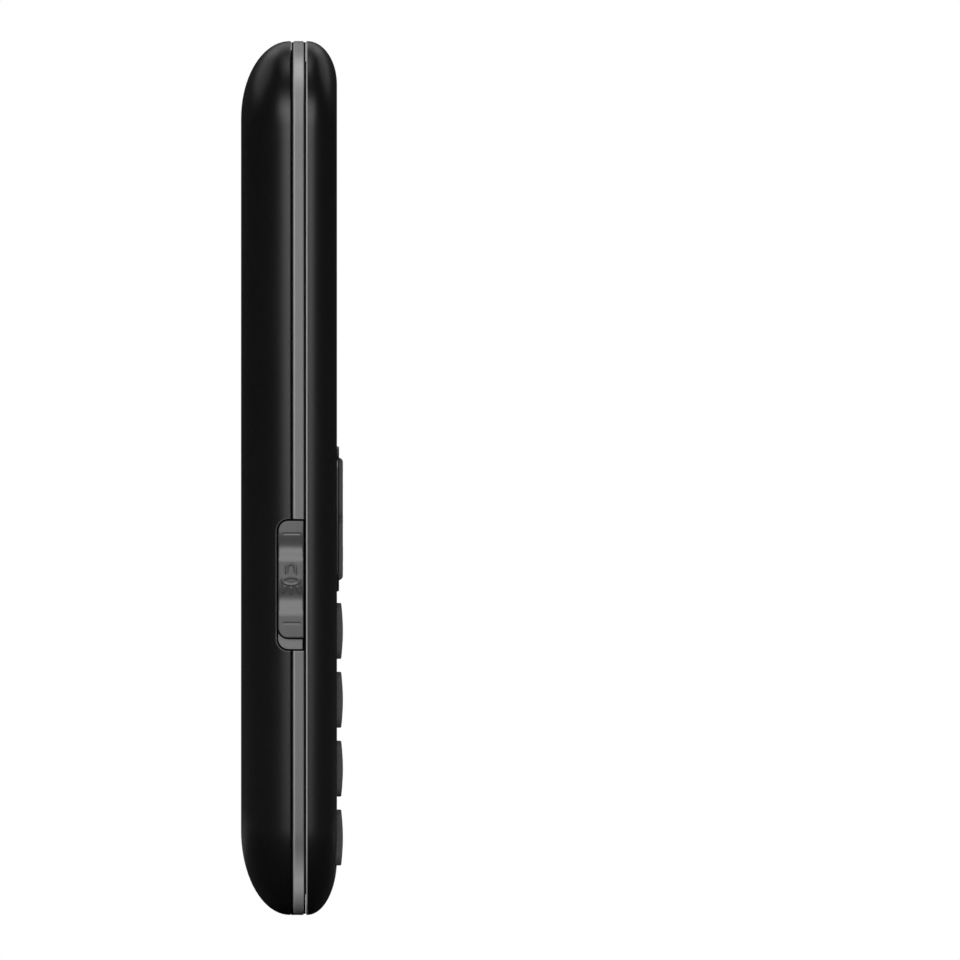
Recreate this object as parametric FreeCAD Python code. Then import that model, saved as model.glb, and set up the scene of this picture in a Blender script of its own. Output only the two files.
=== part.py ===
"""Bar feature phone with a keypad, a sliding torch switch and a lift-off back cover.

Millimetres. X is across the phone (+X is the right side, seen from the front), the front faces -Y,
the back faces +Y and Z runs up from the bottom end. Y = 0 is the seam between the side band and the
back cover, and Z = 0 is the bottom end.
"""

import FreeCAD, Part
import math
import os

Vector = FreeCAD.Vector

# ---------------------------------------------------------------- driving sizes: the body
BODY_LENGTH = 124.0
BODY_WIDTH = 52.5
CORNER_RADIUS = 12.0            # of the outline, seen from the front
BAND_WIDTH = 1.56               # visible width of the side band
BAND_THICKNESS = 1.2
SEAM = 0.28                     # open groove on each side of the band
GROOVE_DEPTH = 0.4
EDGE_BEVEL = 0.18
FIT_GAP = 0.1                   # between fixed pieces that nest
RUNNING_GAP = 0.25              # round a piece that moves in a hole
SEAT_GAP = 0.04                 # between flat faces of pieces that lie on each other
FLAT_ERROR = 0.12               # how far a corner made of flats may lie from its arc
SLOT_END = 0.49                 # end radius of a slot, as a share of its height

BACK_DEPTH = 7.1
BACK_RUNS = (9.5, 12.0, 11.0)   # how far the back curves in: sides, bottom end, top end
BACK_FAR_RADIUS = 5.0
BACK_WALL = 1.1
FRONT_DEPTH = 4.4
FRONT_RUNS = (5.0, 7.95, 6.15)
FRONT_FAR_RADIUS = 8.0
FRONT_WALL = 1.4
CHASSIS_WALL = 1.2
BACK_LEAN = (4.8, 7.4)          # rise and run of the sloped inside walls
FRONT_LEAN = (1.8, 3.2)

# ---------------------------------------------------------------- driving sizes: the display
WINDOW_FROM_TOP = 10.6          # from the top end to the window's upper edge
WINDOW_SIDE = 5.75              # housing left beside the window
WINDOW_HEIGHT = 44.4
WINDOW_RADIUS = 3.0
WINDOW_THICKNESS = 0.85
SCREEN_INSET = 1.8              # from the window's ends to the lit area's
SCREEN_MARGIN = 0.6
DISPLAY_SIDE = 8.45             # from the phone's side to the display's
DISPLAY_FRAME = 2.5             # from the display's side to the lit area
DISPLAY_END = 0.8               # how far the display reaches past the window's ends
DISPLAY_THICKNESS = 2.3
DISPLAY_CORNER_RADIUS = 0.8

EARPIECE_FROM_TOP = 8.3
EARPIECE_SLOT = (10.0, 1.3)
EARPIECE_BODY = (11.0, 3.0, 2.0)

# ---------------------------------------------------------------- driving sizes: the keys
KEY_PROUD = 0.86                # key tops above the front face
KEY_WALL = 0.6                  # straight side of a number key above the front face
KEYPAD_SIDE = 6.65              # from the phone's side to the outer keys
KEYPAD_BOTTOM_Z = 7.025
KEY_RADIUS = 1.6
KEY_COLUMNS = 3
KEY_ROWS = 4
KEY_COLUMN_GAP = 1.3
KEY_ROW_GAP = 1.82
KEY_CROWN_FLATS = 5
KEY_FLANGE = 0.35
KEY_FLANGE_THICKNESS = 0.4
KEY_TRAVEL = 0.3

SURROUND_BELOW_WINDOW = 2.5
SURROUND_ABOVE_KEYS = 1.615
SURROUND_RAILS = (1.3, 1.6)     # width of the frame's sides and of its ends, with the gap to the keys
SURROUND_RADIUS = 3.0
SURROUND_PROUD = 0.3
SURROUND_THICKNESS = 0.9
CLUSTER_HEIGHT = 17.4
CLUSTER_CHAMFER = 0.5
CLUSTER_GAP = 0.4
SIDE_KEY_INNER_X = 7.3
RING_RADIUS = 5.5
OK_SIZE = 7.2
OK_RADIUS = 2.4
OK_SUNK = 0.15
ROCKER_SIZE = 15.6
ROCKER_THICKNESS = 0.45

# ---------------------------------------------------------------- driving sizes: the electronics
BOARD_THICKNESS = 0.9
BOARD_EDGE_GAP = 1.6            # board edge inside the chassis wall's outer face
MAT_THICKNESS = 0.45
MAT_PIN_RADIUS = 1.0
DOME_SIZE = 4.4
DOME_RISE = 0.3
SHEET_THICKNESS = 0.12

BATTERY_SIDE = 9.25             # from the phone's side to the battery's
BATTERY_FROM_TOP = 52.4
BATTERY_THICKNESS = 5.5
BATTERY_GAP = 0.2
BATTERY_BOTTOM_Z = 18.6
BAY_WALL = 1.0
BAY_FLOOR = 1.0
CONTACT_BLOCK = (11.0, 3.0, 3.4)
CONTACT_BLADE = 1.2             # width of a contact's slot
CONTACT_EDGE = 0.6              # block left in front of and behind a slot

SOCKET_THICKNESS = 1.35
SIM_SOCKET_LENGTH = 25.0
SIM_SOCKET_SIDES = (0.8, 1.0)   # from the middle of the phone, and from the battery's side
CARD_SOCKET_SIZE = (14.6, 15.0)
SOCKET_START = 2.0              # from the battery's lower end to the sockets
SOCKET_SPACE = 3.0              # between the upper socket and the lower ones
SPEAKER_RADIUS = 7.5
SPEAKER_THICKNESS = 3.4
SPEAKER_FROM_SIDE = 17.65
SPEAKER_FROM_TOP = 26.0
SPEAKER_SLOTS = 5
SPEAKER_SLOT = (7.4, 0.8)
SPEAKER_SLOT_PITCH = 1.8
CAMERA_FROM_SIDE = 16.65
CAMERA_FROM_TOP = 24.0
CAMERA_SIDES = 24               # flats of the camera's round pieces
CAMERA_BODY = 8.0
CAMERA_BODY_DEPTH = 3.4
CAMERA_BARREL_RADIUS = 2.6
CAMERA_WINDOW_RADIUS = 3.6
CAMERA_WINDOW_THICKNESS = 0.7
MOTOR_RADIUS = 4.0
MOTOR_THICKNESS = 2.7
MOTOR_BELOW_CAMERA = 1.0
CAN_ABOVE_BAY = 1.0             # battery bay to the wide shield can
CAN_BELOW_MOTOR = 0.2
CAN_BESIDE_SCREW = 5.0
CAN_BEVEL = 0.2
CAN_BESIDE_MOTOR = 0.6
SMALL_CAN_HEIGHT = 9.0
SMALL_CAN_DROP = 7.2            # camera's centre to the small can's
ANTENNA_BAR = (4.5, 3.6)        # along the phone, and its depth
ANTENNA_BESIDE_BOSS = 2.0
SCREW_RADIUS = 0.8
SCREW_HEAD_RADIUS = 1.5
SCREW_HEAD_HEIGHT = 0.7
SCREW_RECESS_RADIUS = 0.6
SCREW_BITE = 2.2                # how far a screw reaches into its front boss
BOSS_RADIUS = 2.1
SCREW_FROM_SIDE = (3.85, 5.65, 5.85)
SCREW_BOTTOM_Z = 16.2
SCREW_FROM_TOP = (45.0, 16.5)

USB_SHELL = (7.5, 2.45, 5.2)    # width, depth across the board, length
USB_WALL = 0.3
USB_SUNK = 1.3
USB_OPENING_GAP = 0.25
JACK_FROM_SIDE = 15.85
JACK_BODY = (6.2, 4.4, 11.4)
JACK_RAISED = 0.8                # legs between the board and the socket's body
JACK_BORE_RADIUS = 1.8
JACK_COLLAR_RADIUS = 2.5
JACK_SUNK = 5.6                 # from the bottom end to the socket's mouth
MIC_FROM_SIDE = 16.85
MIC_RADIUS = 2.0
MIC_HOLE_RADIUS = 0.5

TORCH_LENS = (4.0, 1.0)
LENS_FLANGE = (0.6, 0.2, 0.5)   # reach along X and along Y beyond the lens, and thickness
TORCH_LED = (3.4, 1.5, 2.0)

# ---------------------------------------------------------------- driving sizes: the torch slide
SLOT_BOTTOM_Z = 37.46
SLOT_LENGTH = 18.74
SLOT_BACK_Y = 2.2
SLOT_RADIUS = 1.7
SLOT_DEPTH = 0.72
SLIDER_LENGTH = 16.6
SLIDER_THICKNESS = 0.6
SLIDER_GAP = 0.26               # dark line round the slider
SLIDER_SCOOP = 0.22
SLIDER_RIDGE = 0.12
SLIDER_RIDGE_WIDTH = 0.24
SLIDER_RIDGE_INSET = 1.9        # from each end of the slider
SLIDER_TRAVEL = 1.6
STEM_LENGTH = 4.0
STEM_WIDTH = 1.4
SWITCH_BODY = (2.8, 1.9, 7.4)
LEVER_SIZE = 1.1

# ---------------------------------------------------------------- driving sizes: cover details
NOTCH_BOTTOM_Z = 6.1            # fingernail notch in the band
NOTCH_LENGTH = 12.3
NOTCH_WIDTH = 1.21
NOTCH_DEPTH = 0.6
CATCH_LENGTH = 4.0
CATCH_THICKNESS = 0.6
CATCH_DROP = 0.95               # how far a catch reaches below the cover's rim
CATCH_HEIGHTS = [24.0, 66.0, 90.0]

# ---------------------------------------------------------------- places across and along the phone
HALF_WIDTH = BODY_WIDTH / 2
DISPLAY_WIDTH = BODY_WIDTH - 2 * DISPLAY_SIDE
SCREEN_WIDTH = DISPLAY_WIDTH - 2 * DISPLAY_FRAME
SCREEN_HEIGHT = WINDOW_HEIGHT - 2 * SCREEN_INSET
DISPLAY_HEIGHT = WINDOW_HEIGHT + 2 * DISPLAY_END
WINDOW_WIDTH = BODY_WIDTH - 2 * WINDOW_SIDE
WINDOW_CENTRE_Z = BODY_LENGTH - WINDOW_FROM_TOP - WINDOW_HEIGHT / 2
SCREEN_CENTRE_Z = WINDOW_CENTRE_Z
EARPIECE_Z = BODY_LENGTH - EARPIECE_FROM_TOP

KEYPAD_WIDTH = BODY_WIDTH - 2 * KEYPAD_SIDE
KEY_WIDTH = (KEYPAD_WIDTH - (KEY_COLUMNS - 1) * KEY_COLUMN_GAP) / KEY_COLUMNS
KEY_PITCH_X = KEY_WIDTH + KEY_COLUMN_GAP
CLUSTER_WIDTH = KEYPAD_WIDTH - CLUSTER_GAP
SURROUND_WIDTH = CLUSTER_WIDTH + 2 * SURROUND_RAILS[0]
SURROUND_HEIGHT = CLUSTER_HEIGHT + 2 * SURROUND_RAILS[1]
NAV_CENTRE_Z = WINDOW_CENTRE_Z - WINDOW_HEIGHT / 2 - SURROUND_BELOW_WINDOW - SURROUND_HEIGHT / 2
KEYPAD_TOP_Z = NAV_CENTRE_Z - SURROUND_HEIGHT / 2 - SURROUND_ABOVE_KEYS
KEY_HEIGHT = (KEYPAD_TOP_Z - KEYPAD_BOTTOM_Z - (KEY_ROWS - 1) * KEY_ROW_GAP) / KEY_ROWS
KEY_PITCH_Z = KEY_HEIGHT + KEY_ROW_GAP
KEY_ROW_BOTTOM_Z = KEYPAD_BOTTOM_Z + KEY_HEIGHT / 2

BATTERY_WIDTH = BODY_WIDTH - 2 * BATTERY_SIDE
BATTERY_LENGTH = BODY_LENGTH - BATTERY_BOTTOM_Z - BATTERY_FROM_TOP
BAY_TOP_Z = BATTERY_BOTTOM_Z + BATTERY_LENGTH + CONTACT_BLOCK[1] + BATTERY_GAP
SIM_SOCKET_WIDTH = BATTERY_WIDTH / 2 - sum(SIM_SOCKET_SIDES)
SPEAKER_X = HALF_WIDTH - SPEAKER_FROM_SIDE
SPEAKER_Z = BODY_LENGTH - SPEAKER_FROM_TOP
CAMERA_X = CAMERA_FROM_SIDE - HALF_WIDTH
CAMERA_Z = BODY_LENGTH - CAMERA_FROM_TOP
MOTOR_Z = CAMERA_Z - CAMERA_BODY / 2 - MOTOR_RADIUS - MOTOR_BELOW_CAMERA
JACK_X = JACK_FROM_SIDE - HALF_WIDTH
MIC_X = HALF_WIDTH - MIC_FROM_SIDE
SCREW_PLACES = [
    (HALF_WIDTH - SCREW_FROM_SIDE[0], SCREW_BOTTOM_Z),
    (HALF_WIDTH - SCREW_FROM_SIDE[1], BODY_LENGTH - SCREW_FROM_TOP[0]),
    (HALF_WIDTH - SCREW_FROM_SIDE[2], BODY_LENGTH - SCREW_FROM_TOP[1]),
]

# ---------------------------------------------------------------- levels along Y
BACK_RIM = SEAM / 2
BACK_PLANE = BACK_RIM + BACK_DEPTH
BACK_INSIDE = BACK_PLANE - BACK_WALL
CHASSIS_TOP = BACK_INSIDE - FIT_GAP
CHASSIS_INSIDE = CHASSIS_TOP - CHASSIS_WALL
BAND_BACK = -SEAM / 2
BAND_FRONT = BAND_BACK - BAND_WIDTH
FRONT_RIM = BAND_FRONT - SEAM
FRONT_FACE = FRONT_RIM - FRONT_DEPTH
FRONT_INSIDE = FRONT_FACE + FRONT_WALL
KEY_TOP = FRONT_FACE - KEY_PROUD
DISPLAY_FRONT = FRONT_INSIDE + SEAT_GAP
DISPLAY_BACK = DISPLAY_FRONT + DISPLAY_THICKNESS
BOARD_FRONT = DISPLAY_BACK + SEAT_GAP
BOARD_BACK = BOARD_FRONT + BOARD_THICKNESS
BOSS_JOINT = BAND_FRONT         # where the front bosses meet the chassis bosses
SHEET_FRONT = BOARD_FRONT - SHEET_THICKNESS
DOME_TOP = SHEET_FRONT - DOME_RISE
MAT_BACK = DOME_TOP - SEAT_GAP - MAT_THICKNESS / 2
MAT_FRONT = MAT_BACK - MAT_THICKNESS
KEY_BACK = MAT_FRONT - KEY_TRAVEL - SEAT_GAP
SURROUND_TOP = FRONT_FACE - SURROUND_PROUD
SURROUND_BACK = SURROUND_TOP + SURROUND_THICKNESS
ROCKER_BACK = KEY_BACK
ROCKER_FRONT = ROCKER_BACK - ROCKER_THICKNESS
RING_BACK = ROCKER_FRONT - KEY_TRAVEL - SEAT_GAP
BAY_FLOOR_BACK = BOARD_BACK + SOCKET_THICKNESS + SEAT_GAP
BATTERY_FRONT = BAY_FLOOR_BACK + SEAT_GAP
BATTERY_BACK = BATTERY_FRONT + BATTERY_THICKNESS
JACK_CENTRE_Y = BOARD_BACK + JACK_RAISED + JACK_BODY[1] / 2

CHASSIS_INSET = BAND_THICKNESS + FIT_GAP
SLOT_TOP_Z = SLOT_BOTTOM_Z + SLOT_LENGTH
SLIDER_TOP_Z = SLOT_TOP_Z - SLIDER_GAP
SLIDER_CENTRE_Z = SLIDER_TOP_Z - SLIDER_LENGTH / 2
STEM_Y = (BAND_BACK + SLOT_BACK_Y) / 2 - STEM_WIDTH / 2


# ================================================================ shapes that many pieces share
def rounded_wire(y, low_x, high_x, low_z, high_z, radius):
    """Closed rounded rectangle in the plane at depth y."""
    k = radius * (1 - math.sqrt(0.5))

    def point(x, z):
        return Vector(x, y, z)

    def side(x1, z1, x2, z2):
        return Part.makeLine(point(x1, z1), point(x2, z2))

    def corner(start, middle, end):
        return Part.Arc(point(*start), point(*middle), point(*end)).toShape()

    edges = [
        side(high_x, low_z + radius, high_x, high_z - radius),
        corner((high_x, high_z - radius), (high_x - k, high_z - k), (high_x - radius, high_z)),
        side(high_x - radius, high_z, low_x + radius, high_z),
        corner((low_x + radius, high_z), (low_x + k, high_z - k), (low_x, high_z - radius)),
        side(low_x, high_z - radius, low_x, low_z + radius),
        corner((low_x, low_z + radius), (low_x + k, low_z + k), (low_x + radius, low_z)),
        side(low_x + radius, low_z, high_x - radius, low_z),
        corner((high_x - radius, low_z), (high_x - k, low_z + k), (high_x, low_z + radius)),
    ]
    return Part.Wire(edges)


def body_wire(y, inset_x, inset_low, inset_high, radius):
    """Outline of the phone at depth y, drawn in by the given insets."""
    half = HALF_WIDTH - inset_x
    return rounded_wire(y, -half, half, inset_low, BODY_LENGTH - inset_high, radius)


def slab(wire, y_end):
    """Prism from a flat outline to the depth y_end."""
    y_start = wire.BoundBox.Center.y
    return Part.Face(wire).extrude(Vector(0, y_end - y_start, 0))


def flats_in_corner(radius):
    """How many short flats stand for a corner's arc."""
    turn = 2 * math.acos(1 - FLAT_ERROR / radius)
    return max(1, round(math.pi / 2 / turn))


def flat_cornered_slab(x, z, width, height, radius, y_start, y_end):
    """Rectangular plate centred at x, z whose corners are short flats along an arc."""
    flats = flats_in_corner(radius)
    points = []
    for quarter in range(4):
        side_x, side_z = ((1, 1), (-1, 1), (-1, -1), (1, -1))[quarter]
        centre_x = x + side_x * (width / 2 - radius)
        centre_z = z + side_z * (height / 2 - radius)
        for step in range(flats + 1):
            turn = math.pi / 2 * (quarter + step / flats)
            along_x, along_z = radius * math.cos(turn), radius * math.sin(turn)
            points.append(Vector(centre_x + along_x, y_start, centre_z + along_z))
    return slab(Part.makePolygon(points + points[:1]), y_end)


def rounded_slab(x, z, width, height, radius, y_start, y_end):
    """Rounded rectangular plate centred at x, z."""
    wire = rounded_wire(y_start, x - width / 2, x + width / 2, z - height / 2, z + height / 2, radius)
    return slab(wire, y_end)


def body_slab(inset, y_start, y_end):
    """Prism of the phone's outline, drawn in evenly by one inset."""
    return slab(body_wire(y_start, inset, inset, inset, CORNER_RADIUS - inset), y_end)


def block(low_x, high_x, low_y, high_y, low_z, high_z):
    """Box between two corners."""
    return Part.makeBox(high_x - low_x, high_y - low_y, high_z - low_z, Vector(low_x, low_y, low_z))


def centred_block(x, z, width, height, y_start, y_end):
    """Box centred at x, z between two depths."""
    return block(x - width / 2, x + width / 2, y_start, y_end, z - height / 2, z + height / 2)


def pin(x, z, radius, y_start, y_end):
    """Round pin along Y."""
    return Part.makeCylinder(radius, y_end - y_start, Vector(x, y_start, z), Vector(0, 1, 0))


def upright(x, y, radius, low_z, high_z):
    """Round pin along Z."""
    return Part.makeCylinder(radius, high_z - low_z, Vector(x, y, low_z), Vector(0, 0, 1))


def ring_of_points(x, y, z, radius, sides):
    """Corners of a regular polygon in the plane at depth y, closed, with its flats along X and Z."""
    turns = [2 * math.pi * (step + 0.5) / sides for step in range(sides + 1)]
    return [Vector(x + radius * math.cos(turn), y, z + radius * math.sin(turn)) for turn in turns]


def many_sided_pin(x, z, radius, y_start, y_end, sides=8):
    """Pin along Y with flat sides, for posts and holes out of sight."""
    return slab(Part.makePolygon(ring_of_points(x, y_start, z, radius, sides)), y_end)


def frustum(x, z, foot_radius, foot_y, top_radius, top_y, sides=8):
    """Low dome with flat sides."""
    foot = ring_of_points(x, foot_y, z, foot_radius, sides)
    top = ring_of_points(x, top_y, z, top_radius, sides)
    outlines = [foot, top]
    outlines += [[foot[i], foot[i + 1], top[i + 1], top[i], foot[i]] for i in range(sides)]
    return Part.Solid(Part.Shell([Part.Face(Part.makePolygon(outline)) for outline in outlines]))


def mirrored_places(places):
    """Each place on the right side, and its twin on the left."""
    return [(side * x, z) for x, z in places for side in (1, -1)]


def fuse(shapes):
    """One shape from several."""
    return shapes[0].multiFuse(shapes[1:]).removeSplitter()


def crowned_form(rim_y, depth, runs, far_radius, steps):
    """Housing half: a bevelled rim, then bands along quarter ellipses to a flat far face."""
    run_side, run_low, run_high = runs
    bevel_y = math.copysign(EDGE_BEVEL, depth)
    wires = [body_wire(rim_y, EDGE_BEVEL, EDGE_BEVEL, EDGE_BEVEL, CORNER_RADIUS - EDGE_BEVEL)]
    for step in range(steps + 1):
        angle = math.pi / 2 * step / steps
        share = 1 - math.cos(angle)
        wires.append(body_wire(
            rim_y + bevel_y + (depth - bevel_y) * math.sin(angle),
            run_side * share,
            run_low * share,
            run_high * share,
            CORNER_RADIUS - (CORNER_RADIUS - far_radius) * share,
        ))
    return Part.makeLoft(wires, True, True)


def edges_at(shape, y):
    """Edges that lie flat at the depth y."""
    return [edge for edge in shape.Edges
            if abs(edge.BoundBox.YMin - y) < 1e-6 and abs(edge.BoundBox.YMax - y) < 1e-6]


def hollow_form(rim_y, far_y, inset, lean):
    """Inside of a housing half: straight walls that lean in towards a flat floor."""
    rise, run = lean
    form = flat_cornered_slab(0, BODY_LENGTH / 2, BODY_WIDTH - 2 * inset, BODY_LENGTH - 2 * inset,
                              CORNER_RADIUS - inset, rim_y, far_y)
    return form.makeChamfer(rise, run, edges_at(form, far_y))


def bevelled_slab(x, z, width, height, radius, y_start, y_top, bevel):
    """Plate with a bevel round its face at y_top."""
    plate = flat_cornered_slab(x, z, width, height, radius, y_start, y_top)
    return plate.makeChamfer(bevel, edges_at(plate, y_top))


# ================================================================ housings
def slot_outline(grow, low_x, high_x):
    """Torch slot seen from the left side, as a prism through the wall; grow widens it all round."""
    low_z, high_z = SLOT_BOTTOM_Z - grow, SLOT_TOP_Z + grow
    back_y, front_y = SLOT_BACK_Y + grow, FRONT_RIM
    radius = SLOT_RADIUS + grow
    plate = block(low_x, high_x, front_y, back_y, low_z, high_z)
    corners = [edge for edge in plate.Edges
               if edge.BoundBox.XLength > 0.1 and edge.BoundBox.YMin > back_y - 0.01]
    return plate.makeFillet(radius, corners)


def usb_opening(gap, low_z, high_z):
    """Way in for the charging plug, gap wider than the socket's shell all round."""
    width, depth, _ = USB_SHELL
    low_y = BOARD_BACK + SEAT_GAP
    return block(-width / 2 - gap, width / 2 + gap, low_y - gap, low_y + depth + gap, low_z, high_z)


def jack_notch(gap):
    """Room for the headphone collar, open towards the cover's rim."""
    radius = JACK_COLLAR_RADIUS + gap
    hole = upright(JACK_X, JACK_CENTRE_Y, radius, -1, JACK_SUNK)
    mouth = block(JACK_X - radius, JACK_X + radius, BAND_BACK, JACK_CENTRE_Y, -1, JACK_SUNK)
    return hole.fuse(mouth)


def speaker_slots(y_start, y_end):
    """Row of slots in front of the loudspeaker."""
    length, height = SPEAKER_SLOT
    first = SPEAKER_Z - SPEAKER_SLOT_PITCH * (SPEAKER_SLOTS - 1) / 2
    heights = [first + SPEAKER_SLOT_PITCH * step for step in range(SPEAKER_SLOTS)]
    return [flat_cornered_slab(SPEAKER_X, z, length, height, SLOT_END * height, y_start, y_end) for z in heights]


def make_front_housing():
    """Front shell with the display aperture, the key holes and the screw bosses."""
    shell = crowned_form(FRONT_RIM, -FRONT_DEPTH, FRONT_RUNS, FRONT_FAR_RADIUS, 3)
    shell = shell.cut(hollow_form(FRONT_RIM, FRONT_INSIDE, FRONT_WALL, FRONT_LEAN))
    bosses = [many_sided_pin(x, z, BOSS_RADIUS, FRONT_INSIDE - SEAT_GAP, BOSS_JOINT - SEAT_GAP)
              for x, z in mirrored_places(SCREW_PLACES)]
    shell = fuse([shell] + bosses)
    cuts = [many_sided_pin(x, z, SCREW_RADIUS + FIT_GAP, BOSS_JOINT - SCREW_BITE - FIT_GAP, 0)
            for x, z in mirrored_places(SCREW_PLACES)]
    outside = FRONT_FACE - 1
    window_floor = FRONT_FACE + WINDOW_THICKNESS + SEAT_GAP
    cuts.append(rounded_slab(0, WINDOW_CENTRE_Z, WINDOW_WIDTH + 2 * FIT_GAP, WINDOW_HEIGHT + 2 * FIT_GAP,
                             WINDOW_RADIUS + FIT_GAP, outside, window_floor))
    cuts.append(centred_block(0, SCREEN_CENTRE_Z, SCREEN_WIDTH + 2 * SCREEN_MARGIN,
                              SCREEN_HEIGHT + 2 * SCREEN_MARGIN, outside, FRONT_INSIDE + 1))
    slot_width, slot_height = EARPIECE_SLOT
    cuts.append(flat_cornered_slab(0, EARPIECE_Z, slot_width, slot_height, SLOT_END * slot_height,
                                   outside, FRONT_INSIDE + 1))
    cuts.append(flat_cornered_slab(0, NAV_CENTRE_Z, SURROUND_WIDTH + 2 * FIT_GAP, SURROUND_HEIGHT + 2 * FIT_GAP,
                                   SURROUND_RADIUS + FIT_GAP, outside, SURROUND_BACK + SEAT_GAP))
    cuts.append(flat_cornered_slab(0, NAV_CENTRE_Z, CLUSTER_WIDTH + 2 * RUNNING_GAP, CLUSTER_HEIGHT + 2 * RUNNING_GAP,
                                   SURROUND_RADIUS / 2, outside, FRONT_INSIDE + 1))
    for x, z in number_key_places().values():
        cuts.append(flat_cornered_slab(x, z, KEY_WIDTH + 2 * RUNNING_GAP, KEY_HEIGHT + 2 * RUNNING_GAP,
                                       KEY_RADIUS + RUNNING_GAP, outside, FRONT_INSIDE + 1))
    return shell.cut(cuts)


def make_side_band():
    """Bright band round the phone, with its inner lip, the torch slide's floor and the fingernail notch."""
    band = body_slab(0, BAND_FRONT, BAND_BACK)
    band = band.makeChamfer(EDGE_BEVEL, edges_at(band, BAND_FRONT) + edges_at(band, BAND_BACK))
    lip = body_slab(GROOVE_DEPTH, FRONT_RIM + SEAT_GAP, BACK_RIM - SEAT_GAP)
    room = flat_cornered_slab(0, BODY_LENGTH / 2, BODY_WIDTH - 2 * BAND_THICKNESS, BODY_LENGTH - 2 * BAND_THICKNESS,
                              CORNER_RADIUS - BAND_THICKNESS, FRONT_RIM - 1, BACK_RIM + 1)
    ring = band.fuse(lip).cut(room)
    floor_x = -HALF_WIDTH + SLOT_DEPTH
    inner_x = -HALF_WIDTH + BAND_THICKNESS
    ring = ring.cut(slot_outline(0, -HALF_WIDTH - 1, floor_x))
    floor = slot_outline(-SEAT_GAP, floor_x, inner_x)
    stem_room = block(-HALF_WIDTH, inner_x + 1, STEM_Y - RUNNING_GAP, STEM_Y + STEM_WIDTH + RUNNING_GAP,
                      SLIDER_CENTRE_Z - STEM_LENGTH / 2 - SLIDER_TRAVEL - RUNNING_GAP,
                      SLIDER_CENTRE_Z + STEM_LENGTH / 2 + RUNNING_GAP)
    notch = body_slab(-1, BACK_RIM - NOTCH_WIDTH - SEAM, BACK_RIM).cut(body_slab(NOTCH_DEPTH, FRONT_RIM, BACK_RIM + 1))
    notch = notch.common(block(0, HALF_WIDTH + 1, FRONT_RIM, BACK_RIM, NOTCH_BOTTOM_Z, NOTCH_BOTTOM_Z + NOTCH_LENGTH))
    return ring.fuse(floor).cut([
        stem_room,
        notch,
        usb_opening(USB_OPENING_GAP, -1, BAND_THICKNESS + 1),
        jack_notch(FIT_GAP),
        upright(MIC_X, (BAND_FRONT + BAND_BACK) / 2, MIC_HOLE_RADIUS, -1, BAND_THICKNESS + 1),
        torch_lens_plug(FIT_GAP / 2),
    ])


def torch_lens_plug(gap):
    """Visible part of the torch lens, through the top of the band."""
    width, depth = TORCH_LENS
    centre_y = (BAND_FRONT + BAND_BACK) / 2
    low_y, high_y = centre_y - depth / 2 - gap, centre_y + depth / 2 + gap
    plug = block(-width / 2 - gap, width / 2 + gap, low_y, high_y, BODY_LENGTH - BAND_THICKNESS, BODY_LENGTH)
    return plug.makeChamfer(depth / 3, [edge for edge in plug.Edges if edge.BoundBox.ZLength > 0.1])


def chassis_boss(x, z):
    """Column that a screw goes down."""
    return many_sided_pin(x, z, SCREW_HEAD_RADIUS + CHASSIS_WALL, BOSS_JOINT, CHASSIS_TOP)


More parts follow.
